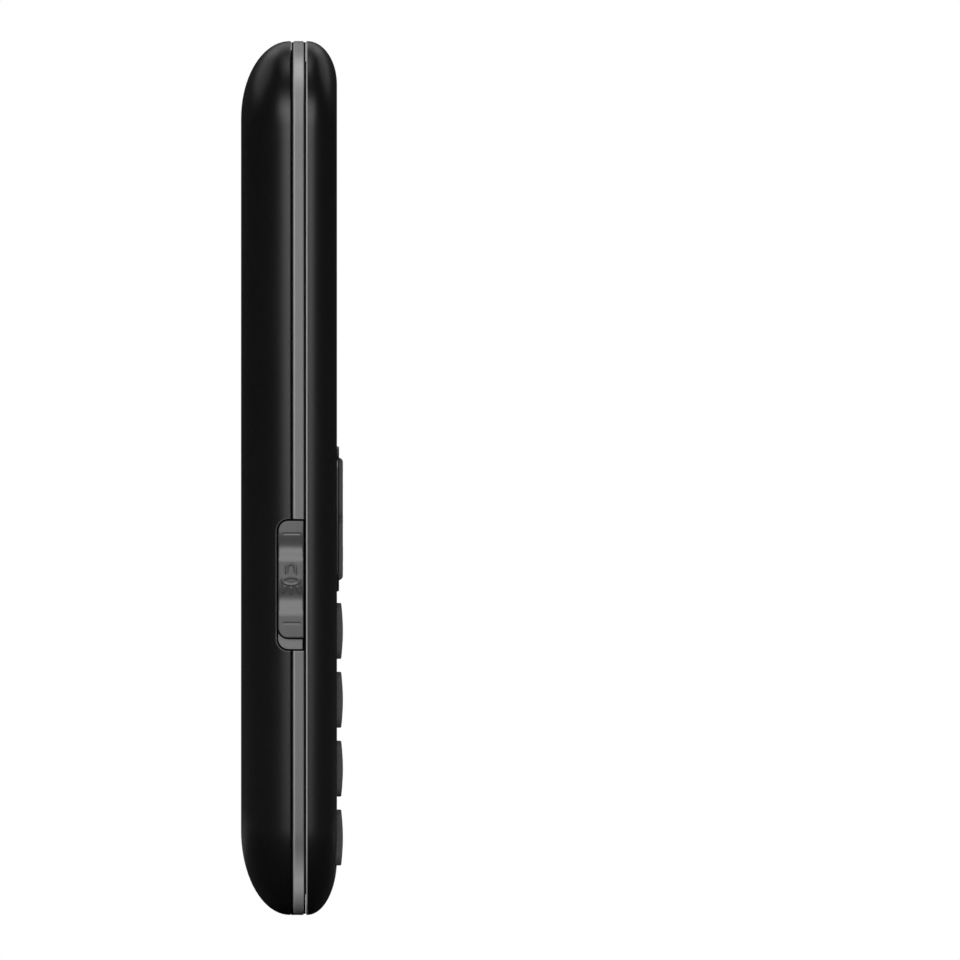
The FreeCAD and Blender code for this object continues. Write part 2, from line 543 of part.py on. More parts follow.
def make_rear_chassis():
    """Black inner housing under the back cover: battery bay, speaker seat, screw columns."""
    outside = hollow_form(BOSS_JOINT, CHASSIS_TOP, CHASSIS_INSET, BACK_LEAN)
    inside = hollow_form(BOSS_JOINT, CHASSIS_INSIDE, CHASSIS_INSET + CHASSIS_WALL, BACK_LEAN)
    shell = outside.cut(inside)
    bay_half = BATTERY_WIDTH / 2 + BATTERY_GAP
    bay_low = BATTERY_BOTTOM_Z - BATTERY_GAP
    bay = block(-bay_half - BAY_WALL, bay_half + BAY_WALL, BAY_FLOOR_BACK - BAY_FLOOR, CHASSIS_TOP,
                bay_low - BAY_WALL, BAY_TOP_Z + BAY_WALL)
    columns = [chassis_boss(x, z).common(outside) for x, z in mirrored_places(SCREW_PLACES)]
    envelope = back_form().fuse(body_slab(0, FRONT_RIM, BACK_RIM))
    collar = upright(JACK_X, JACK_CENTRE_Y, JACK_COLLAR_RADIUS, -1, JACK_SUNK).common(envelope)
    shell = fuse([shell, bay.common(outside), collar] + columns)
    cuts = [block(-bay_half, bay_half, BAY_FLOOR_BACK, CHASSIS_TOP + 1, bay_low, BAY_TOP_Z)]
    for place in socket_places().values():
        x, z, (width, height, _) = place
        cuts.append(centred_block(x, z, width + 2 * FIT_GAP, height + 2 * FIT_GAP, BOARD_BACK, BAY_FLOOR_BACK + 1))
    for x, z in mirrored_places(SCREW_PLACES):
        cuts.append(many_sided_pin(x, z, SCREW_HEAD_RADIUS + 2 * FIT_GAP, screw_seat_y(), CHASSIS_TOP + 1))
        cuts.append(many_sided_pin(x, z, SCREW_RADIUS + FIT_GAP, BOSS_JOINT - 1, CHASSIS_TOP))
    cuts += speaker_slots(CHASSIS_INSIDE - 1, CHASSIS_TOP + 1)
    cuts.append(many_sided_pin(CAMERA_X, CAMERA_Z, CAMERA_BARREL_RADIUS + FIT_GAP,
                               CHASSIS_INSIDE - 1, CHASSIS_TOP + 1, CAMERA_SIDES))
    cuts.append(block(-HALF_WIDTH, -bay_half - BAY_WALL, BOSS_JOINT - 1, SLOT_BACK_Y, SLOT_BOTTOM_Z, SLOT_TOP_Z))
    cuts.append(usb_opening(USB_OPENING_GAP, -1, USB_SUNK + USB_SHELL[2] + FIT_GAP))
    cuts.append(upright(JACK_X, JACK_CENTRE_Y, JACK_BORE_RADIUS + FIT_GAP, -1, JACK_SUNK + 1))
    cuts.append(jack_body(SEAT_GAP))
    cuts.append(upright(MIC_X, (BAND_FRONT + BAND_BACK) / 2, MIC_HOLE_RADIUS, -1, CHASSIS_INSET + CHASSIS_WALL + 1))
    lens_width, _ = TORCH_LENS
    cuts.append(block(-lens_width / 2 - 1, lens_width / 2 + 1, BOSS_JOINT - 1, BAND_BACK,
                      BODY_LENGTH - CHASSIS_INSET - CHASSIS_WALL - 1, BODY_LENGTH))
    cuts += [catch_room(x_side, z) for x_side, z in catch_places()]
    return shell.cut(cuts)


def catch_places():
    """Side and height of every catch; the torch slide keeps its stretch of the left side free."""
    low_z, high_z = SLOT_BOTTOM_Z - CATCH_LENGTH, SLOT_TOP_Z + CATCH_LENGTH
    return [(x_side, z) for x_side in (1, -1) for z in CATCH_HEIGHTS if x_side > 0 or not low_z < z < high_z]


def side_block(x_side, low_x, high_x, low_y, high_y, z, height):
    """Box on the right side, or its twin on the left."""
    near, far = sorted((x_side * low_x, x_side * high_x))
    return block(near, far, low_y, high_y, z - height / 2, z + height / 2)


def make_catch(x_side, z):
    """Catch inside the cover's rim, with a tongue that drops behind the band."""
    inner = HALF_WIDTH - BACK_WALL - CATCH_THICKNESS
    root = side_block(x_side, inner, HALF_WIDTH - BACK_WALL + SEAT_GAP, BACK_RIM, BACK_RIM + CATCH_DROP,
                      z, CATCH_LENGTH)
    tongue = side_block(x_side, inner, HALF_WIDTH - CHASSIS_INSET, BACK_RIM - CATCH_DROP, BACK_RIM + CATCH_DROP,
                        z, CATCH_LENGTH)
    return root.fuse(tongue)


def catch_room(x_side, z):
    """Pocket in the chassis that a catch drops into from behind."""
    inner = HALF_WIDTH - BACK_WALL - CATCH_THICKNESS - RUNNING_GAP
    return side_block(x_side, inner, HALF_WIDTH, BACK_RIM - CATCH_DROP - RUNNING_GAP, CHASSIS_TOP, z,
                      CATCH_LENGTH + 2 * RUNNING_GAP)


def back_form():
    """Outside of the back cover."""
    return crowned_form(BACK_RIM, BACK_DEPTH, BACK_RUNS, BACK_FAR_RADIUS, 4)


def make_back_cover():
    """Lift-off back cover with its catches, speaker slots and camera hole."""
    shell = back_form()
    shell = shell.cut(hollow_form(BACK_RIM, BACK_INSIDE, BACK_WALL, BACK_LEAN))
    shell = fuse([shell] + [make_catch(x_side, z) for x_side, z in catch_places()])
    cuts = [slot_outline(0, -HALF_WIDTH - 1, -HALF_WIDTH + BACK_WALL + 1)]
    cuts += speaker_slots(BACK_INSIDE - 1, BACK_PLANE + 1)
    cuts.append(many_sided_pin(CAMERA_X, CAMERA_Z, CAMERA_WINDOW_RADIUS + FIT_GAP / 2,
                               BACK_PLANE - CAMERA_WINDOW_THICKNESS - SEAT_GAP, BACK_PLANE + 1, CAMERA_SIDES))
    cuts.append(many_sided_pin(CAMERA_X, CAMERA_Z, CAMERA_BARREL_RADIUS, BACK_INSIDE - 1, BACK_PLANE + 1,
                               CAMERA_SIDES))
    cuts.append(usb_opening(USB_OPENING_GAP, -1, USB_SUNK + BACK_WALL + 1))
    cuts.append(jack_notch(FIT_GAP))
    return shell.cut(cuts)


def screw_seat_y():
    """Depth of the screw heads' seat in the chassis."""
    return BOSS_JOINT + CHASSIS_WALL


def make_housing_screws():
    """Six screws that hold the chassis to the front housing."""
    screws = []
    for x, z in mirrored_places(SCREW_PLACES):
        head = many_sided_pin(x, z, SCREW_HEAD_RADIUS, screw_seat_y() + SEAT_GAP / 2,
                              screw_seat_y() + SCREW_HEAD_HEIGHT)
        shank = many_sided_pin(x, z, SCREW_RADIUS, BOSS_JOINT - SCREW_BITE, screw_seat_y() + SEAT_GAP)
        recess = many_sided_pin(x, z, SCREW_RECESS_RADIUS, screw_seat_y() + SCREW_HEAD_HEIGHT / 2,
                                screw_seat_y() + 1, 4)
        screws.append(head.fuse(shank).cut(recess))
    return Part.makeCompound(screws)


# ================================================================ display and earpiece
def make_display_window():
    """Clear window let into the front face."""
    return bevelled_slab(0, WINDOW_CENTRE_Z, WINDOW_WIDTH, WINDOW_HEIGHT, WINDOW_RADIUS,
                         FRONT_FACE + WINDOW_THICKNESS, FRONT_FACE, EDGE_BEVEL)


def make_display_module():
    """Liquid crystal panel on its backlight, with the connector ledge at its foot."""
    body = flat_cornered_slab(0, SCREEN_CENTRE_Z, DISPLAY_WIDTH, DISPLAY_HEIGHT, DISPLAY_CORNER_RADIUS,
                              DISPLAY_FRONT + DISPLAY_THICKNESS / 3, DISPLAY_BACK)
    glass = centred_block(0, SCREEN_CENTRE_Z + SCREEN_MARGIN, DISPLAY_WIDTH - 4 * SCREEN_MARGIN,
                          DISPLAY_HEIGHT - 4 * SCREEN_MARGIN,
                          DISPLAY_FRONT, DISPLAY_FRONT + DISPLAY_THICKNESS / 2)
    return body.fuse(glass)


def make_earpiece_grille():
    """Fine mesh strip in the earpiece slot."""
    width, height = EARPIECE_SLOT
    return flat_cornered_slab(0, EARPIECE_Z, width - SEAT_GAP, height - SEAT_GAP, SLOT_END * (height - SEAT_GAP),
                              FRONT_FACE + FRONT_WALL / 3, FRONT_INSIDE - SEAT_GAP)


def make_earpiece():
    """Receiver capsule behind the earpiece slot."""
    width, height, depth = EARPIECE_BODY
    return flat_cornered_slab(0, EARPIECE_Z + height / 6, width, height, height / 3,
                              FRONT_INSIDE + SEAT_GAP, FRONT_INSIDE + depth)


# ================================================================ keys
def number_key_places():
    """Centre of every number key, bottom row first."""
    names = ["key_star", "key_0", "key_hash", "key_7", "key_8", "key_9",
             "key_4", "key_5", "key_6", "key_1", "key_2", "key_3"]
    places = {}
    for index, name in enumerate(names):
        row, column = divmod(index, KEY_COLUMNS)
        places[name] = ((column - (KEY_COLUMNS - 1) / 2) * KEY_PITCH_X, KEY_ROW_BOTTOM_Z + row * KEY_PITCH_Z)
    return places


def make_number_key(x, z):
    """Key with straight sides, a crowned top and a flange that keeps it behind the front face."""
    stem = flat_cornered_slab(x, z, KEY_WIDTH, KEY_HEIGHT, KEY_RADIUS, KEY_BACK, KEY_TOP)
    half, rise = KEY_HEIGHT / 2, KEY_PROUD - KEY_WALL
    crown_radius = (half ** 2 + rise ** 2) / (2 * rise)
    low_x = x - KEY_WIDTH / 2 - 1
    profile = [Vector(low_x, KEY_BACK, z - half)]
    for step in range(KEY_CROWN_FLATS + 1):
        along = half * (2 * step / KEY_CROWN_FLATS - 1)
        sink = crown_radius - math.sqrt(crown_radius ** 2 - along ** 2)
        profile.append(Vector(low_x, KEY_TOP + sink, z + along))
    profile.append(Vector(low_x, KEY_BACK, z + half))
    crown = Part.Face(Part.makePolygon(profile + profile[:1])).extrude(Vector(KEY_WIDTH + 2, 0, 0))
    flange = flat_cornered_slab(x, z, KEY_WIDTH + 2 * KEY_FLANGE, KEY_HEIGHT + 2 * KEY_FLANGE,
                                KEY_RADIUS + KEY_FLANGE,
                                FRONT_INSIDE + SEAT_GAP, FRONT_INSIDE + SEAT_GAP + KEY_FLANGE_THICKNESS)
    return stem.common(crown).fuse(flange)


def make_nav_surround():
    """Low frame round the navigation keys."""
    frame = bevelled_slab(0, NAV_CENTRE_Z, SURROUND_WIDTH, SURROUND_HEIGHT, SURROUND_RADIUS,
                          SURROUND_BACK, SURROUND_TOP, EDGE_BEVEL)
    opening = flat_cornered_slab(0, NAV_CENTRE_Z, CLUSTER_WIDTH + 2 * RUNNING_GAP, CLUSTER_HEIGHT + 2 * RUNNING_GAP,
                                 SURROUND_RADIUS / 2, SURROUND_TOP - 1, SURROUND_BACK + 1)
    return frame.cut(opening)


def make_nav_ring():
    """Four-way ring round the centre key."""
    ring = bevelled_slab(0, NAV_CENTRE_Z, CLUSTER_HEIGHT, CLUSTER_HEIGHT, RING_RADIUS,
                         RING_BACK, KEY_TOP, CLUSTER_CHAMFER)
    hole_size = OK_SIZE + 2 * RUNNING_GAP
    hole = flat_cornered_slab(0, NAV_CENTRE_Z, hole_size, hole_size, OK_RADIUS + RUNNING_GAP,
                              KEY_TOP - 1, RING_BACK + 1)
    return ring.cut(hole)


def make_nav_rocker():
    """Rubber-backed plate that the ring tilts on."""
    plate = flat_cornered_slab(0, NAV_CENTRE_Z, ROCKER_SIZE, ROCKER_SIZE, RING_RADIUS - 1, ROCKER_FRONT, ROCKER_BACK)
    hole_size = OK_SIZE + 4 * RUNNING_GAP
    hole = flat_cornered_slab(0, NAV_CENTRE_Z, hole_size, hole_size, OK_RADIUS, ROCKER_FRONT - 1, ROCKER_BACK + 1)
    return plate.cut(hole)


def make_ok_key():
    """Centre key."""
    return bevelled_slab(0, NAV_CENTRE_Z, OK_SIZE, OK_SIZE, OK_RADIUS, KEY_BACK, KEY_TOP + OK_SUNK, CLUSTER_CHAMFER / 2)


def make_side_key(x_side, z_side):
    """Soft key, call key or end key: one quarter of the cluster, hollowed to follow the ring."""
    outer = CLUSTER_WIDTH / 2
    height = (CLUSTER_HEIGHT - CLUSTER_GAP) / 2
    width = outer - SIDE_KEY_INNER_X
    x = x_side * (outer + SIDE_KEY_INNER_X) / 2
    z = NAV_CENTRE_Z + z_side * (CLUSTER_GAP + height) / 2
    key = bevelled_slab(x, z, width, height, SURROUND_RADIUS / 2, KEY_BACK, KEY_TOP, CLUSTER_CHAMFER)
    ring_room = CLUSTER_HEIGHT + 2 * CLUSTER_GAP
    return key.cut(flat_cornered_slab(0, NAV_CENTRE_Z, ring_room, ring_room, RING_RADIUS + CLUSTER_GAP,
                                      KEY_TOP - 1, KEY_BACK + 1))


def contact_places():
    """Where each key presses its dome."""
    side_x = (CLUSTER_WIDTH / 2 + CLUSTER_HEIGHT / 2) / 2
    side_z = (CLUSTER_HEIGHT + CLUSTER_GAP) / 4
    reach = CLUSTER_HEIGHT / 2 - DOME_SIZE / 2
    places = list(number_key_places().values())
    places += [(x * side_x, NAV_CENTRE_Z + z * side_z) for x in (1, -1) for z in (1, -1)]
    places += [(0, NAV_CENTRE_Z), (reach, NAV_CENTRE_Z), (-reach, NAV_CENTRE_Z)]
    places += [(0, NAV_CENTRE_Z + reach), (0, NAV_CENTRE_Z - reach)]
    return places


def keypad_outline(y_start, y_end):
    """Plate as large as the whole keypad."""
    margin = DOME_SIZE / 2
    low_z = KEY_ROW_BOTTOM_Z - KEY_HEIGHT / 2
    high_z = NAV_CENTRE_Z + CLUSTER_HEIGHT / 2
    width = CLUSTER_WIDTH - margin
    return flat_cornered_slab(0, (low_z + high_z) / 2, width, high_z - low_z, margin, y_start, y_end)


def make_keypad_mat():
    """Silicone mat with a pin over every dome."""
    pins = [many_sided_pin(x, z, MAT_PIN_RADIUS, MAT_BACK - MAT_THICKNESS / 2, DOME_TOP - SEAT_GAP, 4)
            for x, z in contact_places()]
    return fuse([keypad_outline(MAT_FRONT, MAT_BACK)] + pins)


def make_dome_sheet():
    """Sheet of four-legged snap domes on the board."""
    domes = [frustum(x, z, DOME_SIZE / 2, SHEET_FRONT + SHEET_THICKNESS / 2, DOME_SIZE / 4, DOME_TOP, 6)
             for x, z in contact_places()]
    return fuse([keypad_outline(SHEET_FRONT, BOARD_FRONT)] + domes)


# ================================================================ board and what it carries
def make_main_board():
    """Circuit board with notches for the bosses."""
    inset = CHASSIS_INSET + BOARD_EDGE_GAP
    board = flat_cornered_slab(0, BODY_LENGTH / 2, BODY_WIDTH - 2 * inset, BODY_LENGTH - 2 * inset,
                               CORNER_RADIUS - inset, BOARD_FRONT, BOARD_BACK)
    holes = [many_sided_pin(x, z, BOSS_RADIUS + RUNNING_GAP, BOARD_FRONT - 1, BOARD_BACK + 1)
             for x, z in mirrored_places(SCREW_PLACES)]
    return board.cut(holes)


def on_board(x, z, width, height, depth):
    """Box soldered to the back of the board."""
    return centred_block(x, z, width, height, BOARD_BACK + SEAT_GAP / 2, BOARD_BACK + depth)


def make_shield_cans():
    """Two drawn steel lids over the radio and the processor."""
    low_z = BAY_TOP_Z + BAY_WALL + CAN_ABOVE_BAY
    high_z = MOTOR_Z - MOTOR_RADIUS - CAN_BELOW_MOTOR
    wide_size = (2 * (SCREW_PLACES[1][0] - CAN_BESIDE_SCREW), high_z - low_z)
    small_size = (2 * (SPEAKER_X - MOTOR_RADIUS - CAN_BESIDE_MOTOR), SMALL_CAN_HEIGHT)
    cans = [on_board(0, (low_z + high_z) / 2, *wide_size, BAY_FLOOR),
            on_board(0, CAMERA_Z - SMALL_CAN_DROP, *small_size, BAY_FLOOR)]
    return Part.makeCompound([can.makeChamfer(CAN_BEVEL, edges_at(can, BOARD_BACK + BAY_FLOOR)) for can in cans])


def socket_places():
    """Card sockets under the battery: centre x, centre z and size."""
    sim_size = (SIM_SOCKET_WIDTH, SIM_SOCKET_LENGTH, SOCKET_THICKNESS)
    card_size = (*CARD_SOCKET_SIZE, SOCKET_THICKNESS)
    sim_x = SIM_SOCKET_WIDTH / 2 + SIM_SOCKET_SIDES[0]
    sim_z = BATTERY_BOTTOM_Z + SOCKET_START + SIM_SOCKET_LENGTH / 2
    card_z = sim_z + SIM_SOCKET_LENGTH / 2 + SOCKET_SPACE + CARD_SOCKET_SIZE[1] / 2
    return {
        "sim_socket_1": (-sim_x, sim_z, sim_size),
        "sim_socket_2": (sim_x, sim_z, sim_size),
        "memory_card_socket": (0, card_z, card_size),
    }


def make_socket(x, z, size):
    """Pressed metal card socket with a slot for the card at its lower end."""
    width, height, depth = size
    body = on_board(x, z, width, height, depth)
    floor_y, roof_y = BOARD_BACK + depth * 0.4, BOARD_BACK + depth * 0.8
    slot = centred_block(x, z - height / 4, width - 2, height / 2 + 1, floor_y, roof_y)
    window = centred_block(x, z + height / 5, width / 2, height / 4, floor_y, BOARD_BACK + depth + 1)
    return body.cut([slot, window])


def make_battery():
    """Flat lithium cell with rounded long edges."""
    z = BATTERY_BOTTOM_Z + BATTERY_LENGTH / 2
    cell = centred_block(0, z, BATTERY_WIDTH, BATTERY_LENGTH, BATTERY_FRONT, BATTERY_BACK)
    long_edges = [edge for edge in cell.Edges if edge.BoundBox.ZLength > BATTERY_LENGTH / 2]
    return cell.makeFillet(BATTERY_THICKNESS / 5, long_edges)


def make_battery_contacts():
    """Contact block with three sprung blades."""
    width, height, depth = CONTACT_BLOCK
    base_z = BATTERY_BOTTOM_Z + BATTERY_LENGTH + FIT_GAP
    z = base_z + height / 2 + FIT_GAP / 2
    body = centred_block(0, z, width, height - FIT_GAP, BAY_FLOOR_BACK + SEAT_GAP / 2, BAY_FLOOR_BACK + depth)
    slots = [centred_block(step * width / 4, base_z, CONTACT_BLADE, height,
                           BAY_FLOOR_BACK + CONTACT_EDGE, BAY_FLOOR_BACK + depth - CONTACT_EDGE)
             for step in (-1, 0, 1)]
    return body.cut(slots)


def make_loudspeaker():
    """Round loudspeaker under the chassis roof."""
    top = CHASSIS_INSIDE - SEAT_GAP
    rim = many_sided_pin(SPEAKER_X, SPEAKER_Z, SPEAKER_RADIUS, top - SPEAKER_THICKNESS / 2, top, 18)
    magnet = many_sided_pin(SPEAKER_X, SPEAKER_Z, SPEAKER_RADIUS * 0.7, top - SPEAKER_THICKNESS,
                            top - SPEAKER_THICKNESS / 3, 18)
    return rim.fuse(magnet)


def make_vibration_motor():
    """Coin motor on the board."""
    return many_sided_pin(-SPEAKER_X, MOTOR_Z, MOTOR_RADIUS, BOARD_BACK + SEAT_GAP, BOARD_BACK + MOTOR_THICKNESS, 20)


def make_camera_module():
    """Camera block with its barrel through the chassis roof."""
    body = on_board(CAMERA_X, CAMERA_Z, CAMERA_BODY, CAMERA_BODY, CAMERA_BODY_DEPTH)
    barrel = many_sided_pin(CAMERA_X, CAMERA_Z, CAMERA_BARREL_RADIUS,
                            BOARD_BACK + CAMERA_BODY_DEPTH / 2, CHASSIS_TOP, CAMERA_SIDES)
    lens = many_sided_pin(CAMERA_X, CAMERA_Z, CAMERA_BARREL_RADIUS / 2, CHASSIS_TOP - 1, CHASSIS_TOP + 1)
    return body.fuse(barrel).cut(lens)


def make_camera_window():
    """Clear disc in the back cover over the camera."""
    return many_sided_pin(CAMERA_X, CAMERA_Z, CAMERA_WINDOW_RADIUS,
                          BACK_PLANE - CAMERA_WINDOW_THICKNESS, BACK_PLANE, CAMERA_SIDES)


def make_usb_socket():
    """Charging socket: a steel shell with the contact tongue inside."""
    width, depth, length = USB_SHELL
    low_y = BOARD_BACK + SEAT_GAP
    shell = block(-width / 2, width / 2, low_y, low_y + depth, USB_SUNK, USB_SUNK + length)
    keyed = [edge for edge in shell.Edges if edge.BoundBox.ZLength > 1 and edge.BoundBox.YMin > low_y + depth / 2]
    shell = shell.makeChamfer(depth / 4, keyed)
    hollow = block(-width / 2 + USB_WALL, width / 2 - USB_WALL, low_y + USB_WALL, low_y + depth - USB_WALL,
                   USB_SUNK - 1, USB_SUNK + length - USB_WALL)
    keyed = [edge for edge in hollow.Edges if edge.BoundBox.ZLength > 1 and edge.BoundBox.YMin > low_y + depth / 2]
    hollow = hollow.makeChamfer(depth / 4, keyed)
    tongue = block(-width / 4, width / 4, low_y + depth / 2, low_y + depth / 2 + USB_WALL,
                   USB_SUNK + USB_WALL, USB_SUNK + length)
    return shell.cut(hollow).fuse(tongue)


def jack_body(gap):
    """Block of the headphone socket, or with a gap the room for it."""
    width, depth, length = JACK_BODY
    return block(JACK_X - width / 2 - gap, JACK_X + width / 2 + gap,
                 JACK_CENTRE_Y - depth / 2 - gap, JACK_CENTRE_Y + depth / 2 + gap,
                 JACK_SUNK + SEAT_GAP - gap, JACK_SUNK + SEAT_GAP + length + gap)


def make_headphone_socket():
    """Headphone socket: a block with a round bore, blind at its upper end."""
    bore = upright(JACK_X, JACK_CENTRE_Y, JACK_BORE_RADIUS, JACK_SUNK - 1, JACK_SUNK + JACK_BODY[2] - 1)
    return jack_body(0).cut(bore)


def make_microphone():
    """Microphone capsule above its hole in the band."""
    z = CHASSIS_INSET + BOARD_EDGE_GAP + MIC_RADIUS
    return many_sided_pin(MIC_X, z, MIC_RADIUS, BOARD_BACK + SEAT_GAP, BOARD_BACK + MIC_RADIUS * 0.6, 12)


def make_antenna():
    """Plastic aerial carrier across the top of the board."""
    top_z = BODY_LENGTH - CHASSIS_INSET - BOARD_EDGE_GAP - TORCH_LED[2] - 1
    width = 2 * (SCREW_PLACES[2][0] - BOSS_RADIUS - ANTENNA_BESIDE_BOSS)
    height, depth = ANTENNA_BAR
    bar = centred_block(0, top_z - height / 2, width, height, BOARD_BACK + SEAT_GAP / 2, BOARD_BACK + depth)
    upper = [edge for edge in edges_at(bar, BOARD_BACK + depth) if edge.BoundBox.ZMin > top_z - 0.01]
    return bar.makeChamfer(depth / 3, upper)


# ================================================================ torch
def make_torch_lens():
    """Clear torch lens with a flange behind the band."""
    width, depth = TORCH_LENS
    centre_y = (BAND_FRONT + BAND_BACK) / 2
    top = BODY_LENGTH - BAND_THICKNESS - SEAT_GAP
    reach_x, reach_y, thickness = LENS_FLANGE
    flange = block(-width / 2 - reach_x, width / 2 + reach_x,
                   centre_y - depth / 2 - reach_y, centre_y + depth / 2 + reach_y, top - thickness, top)
    neck = block(-width / 4, width / 4, centre_y - depth / 4, centre_y + depth / 4,
                 top - thickness / 2, BODY_LENGTH - thickness)
    return fuse([torch_lens_plug(0), flange, neck])


def make_torch_led():
    """Light-emitting diode at the top edge of the board."""
    width, depth, length = TORCH_LED
    top = BODY_LENGTH - CHASSIS_INSET - BOARD_EDGE_GAP + length / 2
    return block(-width / 2, width / 2, BOARD_BACK + SEAT_GAP / 2, BOARD_BACK + depth, top - length, top)


def make_torch_slider():
    """Sliding torch button: a scooped plate, two grip ridges and the stem that moves the switch."""
    outer = -HALF_WIDTH
    inner = outer + SLIDER_THICKNESS
    low_z, high_z = SLIDER_CENTRE_Z - SLIDER_LENGTH / 2, SLIDER_CENTRE_Z + SLIDER_LENGTH / 2
    back_y, front_y = SLOT_BACK_Y - SLIDER_GAP, BAND_FRONT + SEAT_GAP * 2
    plate = block(outer, inner, front_y, back_y, low_z, high_z)
    back_corners = [edge for edge in plate.Edges
                    if edge.BoundBox.XLength > 0.1 and edge.BoundBox.YMin > back_y - 0.01]
    plate = plate.makeFillet(SLOT_RADIUS - SLIDER_GAP, back_corners)
    face_edges = [edge for edge in plate.Edges if edge.BoundBox.XMax < outer + 1e-6]
    plate = plate.makeChamfer(EDGE_BEVEL / 2, face_edges)
    scoop_half = SLIDER_LENGTH / 5
    scoop_radius = (scoop_half ** 2 + SLIDER_SCOOP ** 2) / (2 * SLIDER_SCOOP)
    scoop_x = outer - scoop_radius + SLIDER_SCOOP
    scoops = [Part.makeCylinder(scoop_radius, back_y - front_y + 2,
                                Vector(scoop_x, front_y - 1, SLIDER_CENTRE_Z + side * scoop_half), Vector(0, 1, 0))
              for side in (1, -1)]
    plate = plate.cut(scoops)
    ridge_half = (back_y - front_y) / 3
    ridge_y = (back_y + front_y) / 2
    ridges = [block(outer - SLIDER_RIDGE, inner, ridge_y - ridge_half, ridge_y + ridge_half,
                    z - SLIDER_RIDGE_WIDTH / 2, z + SLIDER_RIDGE_WIDTH / 2)
              for z in (low_z + SLIDER_RIDGE_INSET, high_z - SLIDER_RIDGE_INSET)]
    stem = block(inner - SEAT_GAP, switch_face_x() - LEVER_SIZE / 2, STEM_Y, STEM_Y + STEM_WIDTH,
                 SLIDER_CENTRE_Z - STEM_LENGTH / 2, SLIDER_CENTRE_Z + STEM_LENGTH / 2)
    fork = lever_block(SEAT_GAP)
    return fuse([plate, stem] + ridges).cut(fork)


def switch_face_x():
    """Outer face of the slide switch's body."""
    return -(BATTERY_WIDTH / 2 + BATTERY_GAP + BAY_WALL + SWITCH_BODY[0] + RUNNING_GAP)


def lever_block(gap):
    """Lever of the slide switch, or with a gap the fork that holds it."""
    face = switch_face_x()
    return block(face - LEVER_SIZE - gap, face + LEVER_SIZE / 2 + gap,
                 STEM_Y + STEM_WIDTH / 2 - LEVER_SIZE / 3 - gap, STEM_Y + STEM_WIDTH / 2 + LEVER_SIZE / 3 + gap,
                 SLIDER_CENTRE_Z - LEVER_SIZE / 2 - gap, SLIDER_CENTRE_Z + LEVER_SIZE / 2 + gap)


def make_torch_switch():
    """Slide switch on the board, with the lever's slot."""
    width, depth, length = SWITCH_BODY
    face = switch_face_x()
    z = SLIDER_CENTRE_Z - SLIDER_TRAVEL / 2
    stem_y = STEM_Y + STEM_WIDTH / 2
    body = block(face, face + width, BOARD_BACK + SEAT_GAP / 2, stem_y + depth / 2, z - length / 2, z + length / 2)
    slot = block(face - 1, face + LEVER_SIZE, stem_y - LEVER_SIZE / 3 - RUNNING_GAP,
                 stem_y + LEVER_SIZE / 3 + RUNNING_GAP,
                 SLIDER_CENTRE_Z - LEVER_SIZE / 2 - SLIDER_TRAVEL - RUNNING_GAP,
                 SLIDER_CENTRE_Z + LEVER_SIZE / 2 + RUNNING_GAP)
    return body.cut(slot)


def main():
    """Build every piece and write it to its own file."""
    pieces = {
        "front_housing": make_front_housing(),
        "side_band": make_side_band(),
        "rear_chassis": make_rear_chassis(),
        "back_cover": make_back_cover(),
        "housing_screws": make_housing_screws(),
        "display_window": make_display_window(),
        "display_module": make_display_module(),
        "earpiece_grille": make_earpiece_grille(),
        "earpiece": make_earpiece(),
        "nav_surround": make_nav_surround(),
        "nav_ring": make_nav_ring(),
        "nav_rocker": make_nav_rocker(),
        "ok_key": make_ok_key(),
        "soft_key_left": make_side_key(-1, 1),
        "soft_key_right": make_side_key(1, 1),
        "call_key": make_side_key(-1, -1),
        "end_key": make_side_key(1, -1),
        "keypad_mat": make_keypad_mat(),
        "dome_sheet": make_dome_sheet(),
        "main_board": make_main_board(),
        "shield_cans": make_shield_cans(),
        "battery": make_battery(),
        "battery_contacts": make_battery_contacts(),
        "loudspeaker": make_loudspeaker(),
        "vibration_motor": make_vibration_motor(),
        "camera_module": make_camera_module(),
        "camera_window": make_camera_window(),
        "usb_socket": make_usb_socket(),
        "headphone_socket": make_headphone_socket(),
        "microphone": make_microphone(),
        "antenna": make_antenna(),
        "torch_lens": make_torch_lens(),
        "torch_led": make_torch_led(),
        "torch_slider": make_torch_slider(),
        "torch_switch": make_torch_switch(),
        "torch_switch_lever": lever_block(0),
    }
    for name, (x, z) in number_key_places().items():
        pieces[name] = make_number_key(x, z)
    for name, place in socket_places().items():
        pieces[name] = make_socket(*place)
    os.makedirs("parts", exist_ok=True)
    for name, shape in pieces.items():
        shape.exportStep(os.path.join("parts", name + ".step"))
        print(f"{name:22s} solids {len(shape.Solids)}  valid {shape.isValid()}  volume {shape.Volume:9.2f}")


main()
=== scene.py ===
"""Bar keypad phone: the housing, keys, window and torch slide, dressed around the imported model.

The phone stands on its bottom end. X is across it, the front faces -Y, the back faces +Y and Z runs
up from the bottom end. Sizes in the classes are millimetres; meshes are made in metres.
"""

from __future__ import annotations

import logging
import math
from dataclasses import dataclass, field
from enum import Enum
from typing import Callable, Iterable, Sequence

